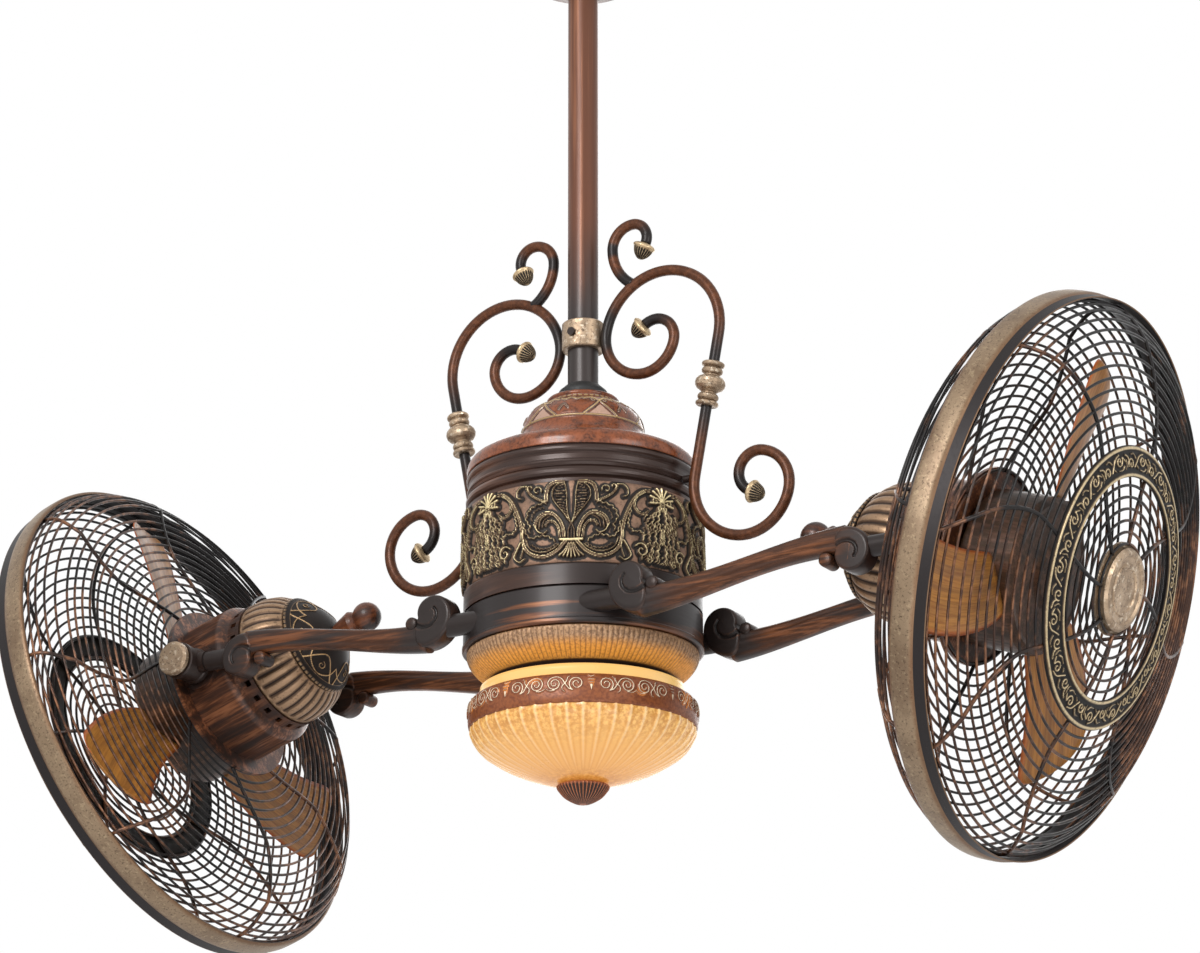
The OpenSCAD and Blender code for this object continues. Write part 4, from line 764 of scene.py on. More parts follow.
class FAN_OT_cages(bpy.types.Operator):
    """Draw the wires of the grilles, their bent ribs and the bands that clasp them"""
    bl_idname = "fan.cages"
    bl_label = "Cages"

    def execute(self, context):
        shape = context.scene.fan_shape
        for side in SIDES:
            head = HEAD[side]
            wire = rubbed_bronze(f"Cage wires {side}", matrix=head, along=(0.3, 0.3, 0.3), dark="120e0d",
                                 brown="3c251a", bright="7a5238", low=0.3, high=0.95, patch=5.0, metallic=0.5,
                                 roughness=0.34)
            for front in (True, False):
                line, rings = grille_lines(front)
                skin = Skin()
                for r, w in rings:
                    skin.add(placed(hoop(r, w, 1.2) * MM, head), closed=True)
                # Each rib bows along its length: its angle lags by (distance from the bow's middle)^1.6
                middle, outer, inner, start = (135, 13, 13, 9) if front else (145, 9.6, 26, 7.6)
                lag = np.where(line[:, 0] > middle, outer, inner) * (np.abs(line[:, 0] - middle) / 80) ** 1.6
                for i in range(shape.ribs):
                    angle = np.radians(start + 360 / shape.ribs * i - lag)
                    path = around(line[:, 0], math.pi - angle, line[:, 1])
                    skin.add(placed(tube(path, 1.7, 8) * MM, head))
                name = "front" if front else "rear"
                skin.piece(f"{side}_{name}_wires", f"{side}_head", "black_bronze", wire,
                           replaces=f"{side}_{name}_grille")
            self.band(side, head)
            self.ornament(side, head)
        return {"FINISHED"}

    def band(self, side, head):
        """The champagne band, its dark inside and the dark lip in front of it, one turned profile."""
        r, h = 226.0, BAND_HALF
        # Radius, level, and tone: 0 on the champagne face, 1 on the dark parts
        points = np.array([
            (r - 4, -h, 1), (r - 2.6, -h - 0.4, 0.5), (r - 1.4, -h, 0.3), (r - 0.6, -h + 1.2, 0.2),
            (r, -h + 4, 0), (r + 0.1, 0, 0), (r, h - 4, 0), (r - 0.6, h - 1.2, 0.2), (r - 1.5, h - 0.2, 0.3),
            (r - 2.1, h + 0.4, 0.5), (r - 2.2, h + 0.8, 1), (r - 2.5, h + 9.2, 1), (r - 2.7, h + 10.2, 0.45),
            (r - 3.4, h + 10.2, 0.45), (r - 4, h + 9.4, 1), (r - 4, h, 1), (r - 4, 0, 1)])
        steps = 256
        grid = placed(turned(points[:, :2] + [0, BAND_AT], steps) * MM, head)
        tone = np.repeat(points[:, 2:], steps, 1)

        def build(n):
            vector = n.place()
            tone = n.tone()
            speck = n.group("Speckle", {"Vector": vector, "Scale": 520.0})
            mottle = n.ramp(n.noise(vector, 22.0, 4.0), 0.4, 0.7)
            pale = n.mix(n.times(mottle, 0.6), paint("8a755d"), paint("5a4431"))
            pale = n.mix(n.times(speck["Dark"], 0.75), pale, paint("3a281a"))
            pale = n.mix(n.times(speck["Pale"], 0.4), pale, paint("b09c7c"))
            # Brown stain creeps in from both edges
            stain = n.ramp(n.plus(tone, n.times(n.noise(vector, 60.0, 4.0), 0.25)), 0.16, 0.45)
            edge = n.mix(n.times(stain, 0.75), pale, paint("6a4a30"))
            color = n.mix(n.ramp(tone, 0.6, 0.95), edge, paint("211c1c"))
            return {"Base Color": color, "Roughness": n.ramp(tone, 0.5, 1.0, 0.42, 0.5),
                    "Normal": n.bump(speck["Dark"], 0.2, 0.0003)}
        finish = material(f"Champagne band {side}", build, Metallic=0.55)
        Skin().add(grid, closed=True, flip=True, tone=tone).piece(
            f"{side}_band", f"{side}_head", "champagne", finish, replaces=f"{side}_cage_band")

    def ornament(self, side, head):
        """The ring of leafy scrolls: the grille's paraboloid raised by the carving, between two rims."""
        inner, outer, columns, rows, repeats = 87.5, 112.0, 960, 34, 16
        r, angle = np.meshgrid(np.linspace(inner, outer, rows), np.linspace(0, TAU, columns, endpoint=False),
                               indexing="ij")
        one = (slice(None), slice(columns // repeats))
        height, hollow_and_shade = (np.tile(part, (1, repeats)) for part in ring_carving(
            angle[one] * 100, r[one] - inner - 3.6, TAU * 100 / repeats, outer - inner - 7.2))
        edge = np.minimum(r - inner, outer - r)
        rim = bead(edge - 1.9, 1.9)
        floor = np.clip(edge / 1.2, 0, 1)
        inside = edge > 3.9
        level = front_at(r) + 2.0 + floor * 0.5 + np.where(inside, height * 1.5, 0) + rim * 1.5
        tone = np.maximum(np.where(inside, np.maximum(height, 0.14 * hollow_and_shade + 0.12), 0), rim * 0.9)
        front = around(r, math.pi - angle, level)
        back = around(r, math.pi - angle, front_at(r) + 1.7)[[-1, 0]]
        grid = np.concatenate([front, back])
        tone = np.concatenate([tone, np.full((2, columns), 0.3)])
        finish = carved(f"Scrolled ring {side}", ground="17110e", shade_and_pits="100c0a", body="54432f",
                        crest="cdb890", metallic=0.6, roughness=0.34, bounds=(0.1, 0.36, 0.72, 1.0))
        Skin().add(placed(grid * MM, head), closed=True, tone=tone).piece(
            f"{side}_scrolled_ring", f"{side}_head", "antique_brass", finish,
            replaces=f"{side}_ornament_ring")


class FAN_OT_blades(bpy.types.Operator):
    """Form the three blades of each fan"""
    bl_idname = "fan.blades"
    bl_label = "Fan blades"

    def execute(self, context):
        shape = context.scene.fan_shape
        root, tip, corner = 63.6, 186.0, 14.0
        t = 1 - (1 - np.linspace(0, 1, 40)[:, None]) ** 1.5
        r = root + (tip - root) * t
        # The chord grows outwards, and the section leans back against the blade's turning
        past = np.maximum(r - tip + corner, 0)
        rounding = corner - np.sqrt(np.maximum(corner ** 2 - past ** 2, 0))
        chord = shape.blade_chord / MM * (0.56 + 0.44 * t ** 0.7) - 2 * rounding
        pitch = np.radians(19 - 4 * t)
        # u is the place across the chord: out over the upper face, and back under the lower one
        u = np.concatenate([np.linspace(0, 1, 21), np.linspace(1, 0, 21)[1:-1]])[None, :]
        face = np.concatenate([[0], np.ones(19), [0], -np.ones(19)])[None, :]
        x = (u - 0.5) * chord - 10 - 40 * t ** 1.8
        thick = 1.25 * face * (1 - 0.55 * np.abs(2 * u - 1) ** 3)
        for side in SIDES:
            finish = blade_wood(side)
            skin = Skin()
            for turn in (0, 120, 240):
                rings = []
                for scale in (1, 0):
                    y = 0.06 * chord * (1 - (2 * u - 1) ** 2) + thick * scale
                    across = x * np.cos(pitch) - y * np.sin(pitch)
                    level = 64 + x * np.sin(pitch) + y * np.cos(pitch) + 8 * np.sin(pitch) * t
                    rings.append(np.stack([np.sqrt(r ** 2 - across ** 2), across, level], -1))
                grid = np.concatenate([rings[1][:1], rings[0], rings[1][-1:]])
                angle = math.radians(turn + 60 + (12 if side == "left" else 0))
                tone = np.broadcast_to(u, grid.shape[:2])
                skin.add(placed(grid * MM, HEAD[side] @ Matrix.Rotation(angle, 4, "Z")), tone=tone)
            skin.piece(f"{side}_blades", f"{side}_fan", "blade", finish, replaces=f"{side}_fan_blades")
        return {"FINISHED"}


def blade_wood(side):
    """Golden walnut with its grain along the blade, and thin reddish orange edges."""
    def build(n):
        vector = n.place(HEAD[side])
        tone = n.tone()
        spot = n.new("ShaderNodeCombineXYZ", {
            "X": n.times(tone, 0.09), "Y": n.times(n.radius(vector), 0.05),
            "Z": n.times(n.split(vector)["Z"], 0.2)}).outputs[0]
        grain = n.noise(spot, 520.0, 5.0, 0.62, 0.35)
        broad = n.noise(spot, 70.0, 3.0, 0.5, 0.6)
        color = n.mix(n.ramp(grain, 0.35, 0.68), paint("bd823a"), paint("965b24"))
        color = n.mix(n.times(n.ramp(broad, 0.45, 0.75), 0.5), color, paint("6d4526"))
        near = n.math("MINIMUM", tone, n.math("SUBTRACT", 1.0, tone))
        color = n.mix(n.ramp(near, 0.08, 0.0), color, paint("b5571c"))
        return {"Base Color": color, "Roughness": n.ramp(grain, 0.3, 0.7, 0.33, 0.44),
                "Normal": n.bump(grain, 0.12, 0.0004)}
    return material(f"Golden walnut {side}", build, **{"Coat Weight": 0.2, "Coat Roughness": 0.25})


# ---------- scrolls ----------

SCROLL_ROD = 4.75                        # radius of a scroll rod
SCROLL_GRIP = 18.4 + SCROLL_ROD          # from the ceiling rod's axis to a scroll rod's, in the clamp
# A run is a list of arcs, (radius, turn in degrees). Where the radius is 0 it is a straight length instead.
SCROLL_RUNS = {
    "outer": [(56, -90), (57, -90), (0, 126), (50, 90), (42, 90), (32, 90), (18, 165)],
    "inner": [(38, 90), (31.5, 90), (18.5, 134)],
    "upper": [(20, -90), (14.5, -115)],
    "leg": [(42, 60)],
}


def scroll_line(heading, run, steps=22):
    """Follows a run from the origin. Gives its points, and its heading at the end, in degrees."""
    line = [(0.0, 0.0)]
    shares = np.linspace(0, 1, steps)[1:]
    for radius, turn in run:
        u, v = line[-1]
        cos, sin = math.cos(math.radians(heading)), math.sin(math.radians(heading))
        if radius == 0:
            line += [(u + turn * t * cos, v + turn * t * sin) for t in shares]
            continue
        bow = math.copysign(radius, turn)
        for t in shares:
            h = math.radians(heading + turn * t)
            line.append((u - bow * sin + bow * math.sin(h), v + bow * cos - bow * math.cos(h)))
        heading += turn
    return np.array(line), heading


def scroll_frames(side):
    """The frames (main, upper) where a side's scrolls start at the clamp: X outward, Y up."""
    foot = Matrix.Translation((0, 0, z_range("crown")[1]))
    plane = ARM[side] @ foot @ Matrix.Rotation(math.radians(90), 4, "X")
    lean = math.radians(11.2)
    out = SCROLL_GRIP + SCROLL_RUNS["inner"][0][0] * (1 - math.cos(lean))
    main = plane @ Matrix.Translation((MM * out, MM * 131, 0)) @ Matrix.Rotation(-lean, 4, "Z")
    upper = plane @ Matrix.Translation((MM * (SCROLL_GRIP + 7), MM * 206, 0))
    return main, upper


def scroll_ends():
    """Frames at the ends of the scrolls, with Z along the bar."""
    out = []
    for side in SIDES:
        main, upper = scroll_frames(side)
        for frame_of, name, first in ((main, "outer", 90), (main, "inner", -90), (upper, "upper", 90)):
            line, heading = scroll_line(first, SCROLL_RUNS[name])
            out.append(frame_of @ Matrix.Translation((*line[-1] * MM, 0))
                       @ Matrix.Rotation(math.radians(heading), 4, "Z")
                       @ Matrix.Rotation(math.radians(90), 4, "Y"))
    return out


class FAN_OT_scrolls(bpy.types.Operator):
    """Bend the scroll rods that stand on each side of the ceiling rod"""
    bl_idname = "fan.scrolls"
    bl_label = "Scroll rods"

    def execute(self, context):
        def build(n):
            vector = n.place()
            tone = n.tone()
            fine, slow = n.noise(vector, 240.0, 4.0, 0.6), n.noise(vector, 26.0, 2.0)
            worn = n.ramp(n.plus(tone, n.times(slow, 0.3)), 0.3, 1.0)
            brown = n.mix(n.ramp(fine, 0.36, 0.74), paint("4a2a18"), paint("653c25"))
            color = n.mix(worn, paint("1e1918"), brown)
            return {"Base Color": color, "Roughness": n.ramp(fine, 0.3, 0.7, 0.34, 0.42),
                    "Normal": n.bump(fine, 0.06, 0.0003)}
        finish = material("Scroll rods", build, Metallic=0.3, **{"Coat Weight": 0.08, "Coat Roughness": 0.25,
                                                                 "Specular IOR Level": 0.22})
        sides = 16
        for side in SIDES:
            main, upper = scroll_frames(side)
            skin = Skin()
            # dark: the places along the rod, in millimetres, that stay black, and how far the black reaches
            for frame_of, back, ahead, heading, dark in (
                    (main, "inner", "outer", 90, ((0, 42), (152, 34), (376, 74), (702, 42))),
                    (upper, "upper", "leg", -90, ((0, 26), (62, 10), (104, 26)))):
                line = np.concatenate([scroll_line(-heading, SCROLL_RUNS[back])[0][::-1],
                                       scroll_line(heading, SCROLL_RUNS[ahead])[0][1:]])
                run = lengths(line)
                worn = np.min([np.clip(np.abs(run - at) / reach, 0, 1) ** 1.5 for at, reach in dark], 0)
                bar = tube(np.concatenate([line, 0 * line[:, :1]], 1) * MM, SCROLL_ROD * MM, sides)
                tone = np.repeat(np.concatenate([worn[:1], worn, worn[-1:]])[:, None], sides, 1)
                skin.add(placed(bar, frame_of), tone=tone)
            skin.piece(f"scroll_rod_{side}", "housing", "black_bronze", finish, replaces=f"scroll_{side}")
        return {"FINISHED"}


# ---------- arms ----------

ARM_GAP = 79                             # from the plane of a head's axis to an arm's middle
SOCKET_LEVEL = -664.85                   # level of the arm sockets' axes
ARM_RISE = 6                             # from there up to the tilt axis
VOLUTE_IN = (97, 13)                     # centre of the volute by the ring, from the foot of the arm's frame
VOLUTE_OUT = (PIVOT_U / MM - 59, 0)      # centre of the volute by the head


def arm_section():
    """An arm's cross-section, half width by half height: flats with a soft ridge along each side."""
    quarter = [(0.0, 1.04), (0.5, 1.0), (0.84, 0.8), (0.9, 0.5), (0.86, 0.36), (0.98, 0.24)]
    right = quarter + [(1.0, 0.0)] + [(x, -z) for x, z in quarter[::-1]]
    left = [(-x, -z) for x, z in right[1:-1]]
    ring = [(-0.5, 1.0)] + right + left
    return bend(ring, 41)[:-1]


def disc(centre, outline, half, groove):
    """A volute seen in the arm's plane: its face sinks along a spiral groove, and its rim is rounded.

    outline gives the radius for each angle, groove the start radius, end radius and turn of the spiral."""
    angle = np.linspace(0, TAU, len(outline), endpoint=False)
    share = np.concatenate([np.linspace(0, 0.9, 26), [0.95, 0.985, 1.0]])
    radius = share[:, None] * outline[None, :]
    x, z = radius * np.cos(angle), radius * np.sin(angle)
    t = np.linspace(0, 1, 60)
    turn = np.radians(groove[2] + groove[3] * t)
    reach = groove[0] + (groove[1] - groove[0]) * t ** 1.3
    cut = ridges(x, z, [(np.stack([reach * np.cos(turn), reach * np.sin(turn)], -1), 1.4, 2.0, 1.0)])
    dome = half - np.interp(share, [0, 0.86, 0.95, 1.0], [-0.4, 0, 0.7, 2.4])[:, None] - 1.7 * cut
    face = np.stack([x + centre[0], -dome, z + centre[1]], -1)
    back = face[::-1] * [1, -1, 1]
    shade = np.concatenate([cut, cut[::-1]])
    return np.concatenate([face, back]), shade


class FAN_OT_arms(bpy.types.Operator):
    """Form the four arms with their volutes"""
    bl_idname = "fan.arms"
    bl_label = "Arms"

    def execute(self, context):
        surfaces = self.surfaces()
        for side in SIDES:
            finish = arm_finish(side)
            for reach in ("near", "far"):
                way = -1 if (reach == "near") == (side == "right") else 1
                frame_of = ARM[side] @ Matrix.Translation((0, MM * way * ARM_GAP, MM * SOCKET_LEVEL))
                skin = Skin()
                for grid, flip, tone in surfaces:
                    skin.add(placed(grid * MM, frame_of), flip=flip, tone=tone)
                skin.piece(f"{side}_arm_{reach}", "carousel", "walnut_metal", finish,
                           replaces=f"arm_{side}_{reach}")
        return {"FINISHED"}

    def surfaces(self):
        """The closed surfaces of one arm in its own frame, in millimetres, as (grid, flip, tone)."""
        # The beam: its centre line is a slow S, and its section is lofted along it
        t = np.linspace(0, 1, 64)
        u = 103 + (VOLUTE_OUT[0] - 6 - 103) * t
        v = -7.5 + 22 * ease(t) + 1.5 * np.sin(math.pi * t)
        tall = (24 - 9 * np.sin(np.radians(150 * t)) + 3 * t) / 2
        wide = 9 - 1.4 * np.sin(math.pi * t)
        slope = np.arctan2(np.gradient(v), np.gradient(u))
        section = arm_section()
        x = u[:, None] - section[None, :, 1] * (tall * np.sin(slope))[:, None]
        z = v[:, None] + section[None, :, 1] * (tall * np.cos(slope))[:, None]
        beam = np.stack([x, section[None, :, 0] * wide[:, None], z], -1)
        caps = np.repeat(beam.mean(1)[[0, -1], None], len(section), 1)
        out = [(np.concatenate([caps[:1], beam, caps[1:]]), False, None)]
        # A volute's radius grows from small to large over its sweep, and falls back where the beam joins it
        small, sweep, fall = 13.0, 225, 60
        for centre, large, start, groove in ((VOLUTE_IN, 31, 60, (5.0, 24.0, 150, 250)),
                                             (VOLUTE_OUT, 24, -120, (5.0, 21.0, -30, 260))):
            angle = (np.degrees(np.linspace(0, TAU, 160, endpoint=False)) - start) % 360
            grown = np.clip(angle / sweep, 0, 1) ** 1.6
            back = ease(np.clip((angle - sweep) / fall, 0, 1))
            outline = np.maximum(small + (large - small) * (grown - back), 10)
            grid, cut = disc(centre, outline, 10.2, groove)
            out.append((grid, False, -cut))
        # The small round ear in the crook of each volute
        for (cx, cz), r in (((117, 5.5), 5.6), ((VOLUTE_OUT[0] - 22, VOLUTE_OUT[1] - 1), 5.8)):
            half = [(0.0, -9.0), (r * 0.7, -8.8), (r * 0.96, -8.0), (r, -6.5)]
            ear = turned(half + [(x, -z) for x, z in half[::-1]], 40)
            out.append((ear[..., [0, 2, 1]] + [cx, 0, cz], True, None))
        # The stub in the ring's socket and the neck in the knuckle
        for first, last, level, radius in ((43.0, 93.0, 0.0, 9.5),
                                           (VOLUTE_OUT[0], PIVOT_U / MM - 20, ARM_RISE, 8.6)):
            path = np.linspace([first, 0, level], [last, 0, level], 24)
            out.append((tube(path, radius, 40), False, None))
        return out


def arm_finish(side):
    """Walnut with long rubbed grain on the beam, going to black bronze on the volutes at both ends."""
    walnut = tuple(bpy.context.scene.fan_finish.walnut)

    def build(n):
        vector = n.place(ARM[side])
        tone = n.tone()
        streak = n.group("Rubbed streaks", {"Vector": vector, "Along": (0.06, 1, 1), "Patch": 7.0})
        place = n.plus(n.split(vector)["X"], n.times(n.noise(vector, 22.0, 3.0), 0.05))
        beam = n.times(n.ramp(place, 0.135, 0.175), n.ramp(place, 0.335, 0.285))
        rub = n.times(n.ramp(streak["Mask"], 0.0, 0.5), beam)
        color = n.mix(rub, paint("2a2321"), walnut)
        color = n.mix(n.times(n.ramp(streak["Grain"], 0.2, 0.36), rub), color, paint("72452a"))
        # Painted shade: near black in the spiral grooves of the volutes
        color = n.mix(n.times(n.ramp(tone, 0.0, -0.8), 0.7), color, paint("120e0d"))
        edge = n.group("Worn edges", {"Vector": vector, "Amount": 0.5})["Mask"]
        color = n.mix(edge, color, paint("7d5036"))
        return {"Base Color": color, "Roughness": n.ramp(streak["Grain"], 0.1, 0.5, 0.42, 0.3),
                "Normal": n.bump(streak["Grain"], 0.1, 0.0005)}
    return material(f"Walnut arm {side}", build, Metallic=0.25, **{
        "Coat Weight": 0.08, "Coat Roughness": 0.26, "Specular IOR Level": 0.24})


# ---------- motors ----------

class FAN_OT_motors(bpy.types.Operator):
    """Shape the reeded domes and the tooled rear caps of the motors"""
    bl_idname = "fan.motors"
    bl_label = "Motor domes"

    def execute(self, context):
        shape = context.scene.fan_shape
        reeds, steps = shape.reeds, shape.reeds * 10
        turn = np.linspace(0, TAU, steps, endpoint=False)
        line = bend([(57.4, -44.0), (58.0, -46.4), (58.0, -52), (57.0, -60), (54.0, -68.6), (50.0, -75),
                     (45.5, -80)], 30)
        depth = np.interp(np.arange(30), [0, 2, 27, 29], [0, 1, 1, 0.4])[:, None]
        groove = np.abs(np.sin(turn * reeds / 2)) ** 0.6
        outer = turned(line, steps)
        outer[..., :2] *= (1 - 0.034 * depth * (1 - groove))[..., None]
        inner = turned([(43.5, -80.8), (20, -80.8), (20, -77), (41, -77), (50, -68), (53.4, -58), (53.8, -46),
                        (52.6, -43), (57.4, -42.2)], steps)
        closed = np.concatenate([outer, inner])
        tone = np.concatenate([1 - depth * (1 - groove), np.full((len(inner), steps), 0.5)])
        # The rear cap's relief: a beaded rim, then arches and crossings in raised gold line
        top, bottom = -80.9, -107.0
        cap_line = bend([(44.0, top), (45.2, -82.0), (44.6, -84.4), (42.0, -86.4), (38.4, -89.4),
                         (34.4, -93.0), (26.4, -99.4), (17.6, -104.0), (9.0, bottom)], 60)
        columns = 480
        angle = np.linspace(0, TAU, columns, endpoint=False)
        x, y = np.meshgrid(angle, lengths(cap_line))
        repeat = TAU / 6
        side_way = ((x % repeat) - repeat / 2) * 30
        arches = [(bend([(-14, 8), (-9, 20), (-3, 27), (3, 27), (9, 20), (14, 8)], 26), 0.8, 0.8, 1.0),
                  (bend([(-15.7, 22), (-10, 14), (0, 9.5), (10, 14), (15.7, 22)], 26), 0.8, 0.8, 1.0),
                  curl((0, 17.5), 3.6, 0.8, 90, 420), (np.array([(-15.7, 8.0), (15.7, 8.0)]), 0.5, 0.5, 0.8)]
        relief = ridges(side_way, y, arches)
        rim = bead(y - 2.6, 2.0) * np.clip(np.abs(np.sin(x * 30)) * 1.6, 0, 1)
        lift = relief * 0.9 + rim * 0.6
        normal = normals(cap_line)
        normal *= np.sign(normal[:, :1] + 1e-9)
        cap = around(cap_line[:, :1] + normal[:, :1] * lift, angle, cap_line[:, 1:] + normal[:, 1:] * lift)
        for side in SIDES:
            head = HEAD[side]
            dome_finish = carved(f"Reeded champagne {side}", ground="2a1d15", shade_and_pits="2a1d15", body="5c4533",
                                 crest="987a5e", metallic=0.55, roughness=0.4, bounds=(0.02, 0.2, 0.75, 1.0))
            Skin().add(placed(closed * MM, head), closed=True, flip=True, tone=tone).piece(
                f"{side}_dome", f"{side}_head", "champagne", dome_finish, replaces=f"{side}_reeded_dome")
            cap_finish = carved(f"Tooled dark cap {side}", ground="241a15", shade_and_pits="16100d", body="5c4631",
                                crest="c6a273", metallic=0.55, roughness=0.36,
                                bounds=(0.06, 0.35, 0.78, 1.05))
            grid = np.concatenate([pole(top, columns), cap, pole(bottom, columns)])
            shade = np.pad(np.maximum(relief, rim * 0.8), ((1, 1), (0, 0)))
            Skin().add(placed(grid * MM, head), flip=True, tone=shade).piece(
                f"{side}_tooled_cap", f"{side}_head", "black_bronze", cap_finish, replaces=f"{side}_rear_cap")
        return {"FINISHED"}


# ---------- body ----------

class FAN_OT_carving(bpy.types.Operator):
    """Carve the band round the body and the band round the glass"""
    bl_idname = "fan.carving"
    bl_label = "Carved bands"

    def execute(self, context):
        shape = context.scene.fan_shape
        low, high = z_range("ornate_band")
        tall = (high - low) / MM
        columns, rows, repeats = 1040, 92, 4
        share = np.linspace(0, 1, rows)
        # Each repeat is a half pattern and its mirror image; the plain V is a little left of the viewer
        turn = math.radians(-90 - 5.5) + np.linspace(0, TAU, columns, endpoint=False)
        x, y = np.meshgrid(np.linspace(0, TAU / 8 * 103.8, columns // 8 + 1), share * 70.5)
        height, hollow_and_shade = (mirrored(part, repeats) for part in band_carving(x, y))
        r = np.interp(share, [0, 0.03, 0.3, 0.5, 0.75, 0.96, 1],
                      [99.8, 100.6, 101.4, 101.6, 101.4, 100.8, 100.0])
        radius = r[:, None] + height * shape.relief / MM - 0.5 * hollow_and_shade * (height < 0.05)
        level = (low / MM + share * tall)[:, None]
        face = around(radius, turn, level)
        inner = around(97.5, turn, level)[[-1, 0]]
        grid = np.concatenate([face, inner])
        tone = np.concatenate([np.maximum(height, 0.14 * hollow_and_shade), np.zeros((2, columns))])
        finish = carved("Carved band", ground="8d6d58", shade_and_pits="1a120d", body="5c452e", crest="e2cf9e",
                        metallic=0.4, roughness=0.36, bounds=(0.09, 0.36, 0.8, 1.08))
        Skin().add(grid * MM, closed=True, tone=tone).piece(
            "carved_band", "housing", "antique_brass", finish, replaces="ornate_band")
        self.shade()
        return {"FINISHED"}

    def shade(self):
        """The metal band of the glass: a turned profile with running scrolls in the upper two thirds."""
        low, high = z_range("shade_band")
        low, high = low / MM, high / MM
        outer = (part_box("shade_band")[1].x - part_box("shade_band")[0].x) / 2 / MM
        line = bend([(outer - 7.2, high), (outer - 4.6, high - 0.6), (outer - 2.2, high - 3.2),
                     (outer - 0.6, high - 8), (outer - 0.5, high - 16), (outer - 0.7, low + 4),
                     (outer - 1.4, low + 1), (outer - 2.6, low)], 46)
        columns, repeats = 1440, 8
        turn = math.radians(-90 + 4) + np.linspace(0, TAU, columns, endpoint=False)
        run = lengths(line)
        up = run[-1] - run
        x, y = np.meshgrid(np.linspace(0, TAU / 16 * 96, columns // 16 + 1), up - 7.4)
        height, hollow_and_shade = (mirrored(part, repeats) for part in scroll_carving(x, y))
        face = around(line[:, :1] + height, turn, line[:, 1:])
        back = turned([(outer - 3.4, low + 0.4), (outer - 3.6, high - 16), (outer - 8.2, high - 0.4)],
                      columns, start=turn[0])
        grid = np.concatenate([face, back])
        tone = np.concatenate([np.maximum(height, 0.13 * hollow_and_shade), np.zeros((3, columns))])

        def build(n):
            vector = n.place()
            tone = n.tone()
            slow, fine = n.noise(vector, 38.0, 3.0), n.noise(vector, 380.0, 4.0)
            ground = n.mix(n.ramp(fine, 0.35, 0.68), paint("8a4d27"), paint("6b3519"))
            # Painted glow: orange patches beside the scrolls, in the base colour and in the emission, stand
            # in for the bulbs' light
            thin = n.times(n.ramp(slow, 0.5, 0.64), n.ramp(tone, 0.02, 0.12))
            color = n.mix(thin, ground, paint("cf8136"))
            color = n.mix(n.ramp(tone, 0.3, 0.55), color, paint("6b3c22"))
            color = n.mix(n.ramp(tone, 0.72, 0.96), color, paint("e8d6b8"))
            return {"Base Color": color, "Emission Color": n.mix(thin, paint("2a1004"), paint("a85a14")),
                    "Roughness": n.ramp(fine, 0.3, 0.7, 0.34, 0.48), "Normal": n.bump(fine, 0.15, 0.0003)}
        finish = material("Scrolled shade band", build, Metallic=0.15, **{"Emission Strength": 0.4 * glow()})
        Skin().add(grid * MM, closed=True, flip=True, tone=tone).piece(
            "scrolled_shade_band", "housing", "dark_brown", finish, replaces="shade_band")


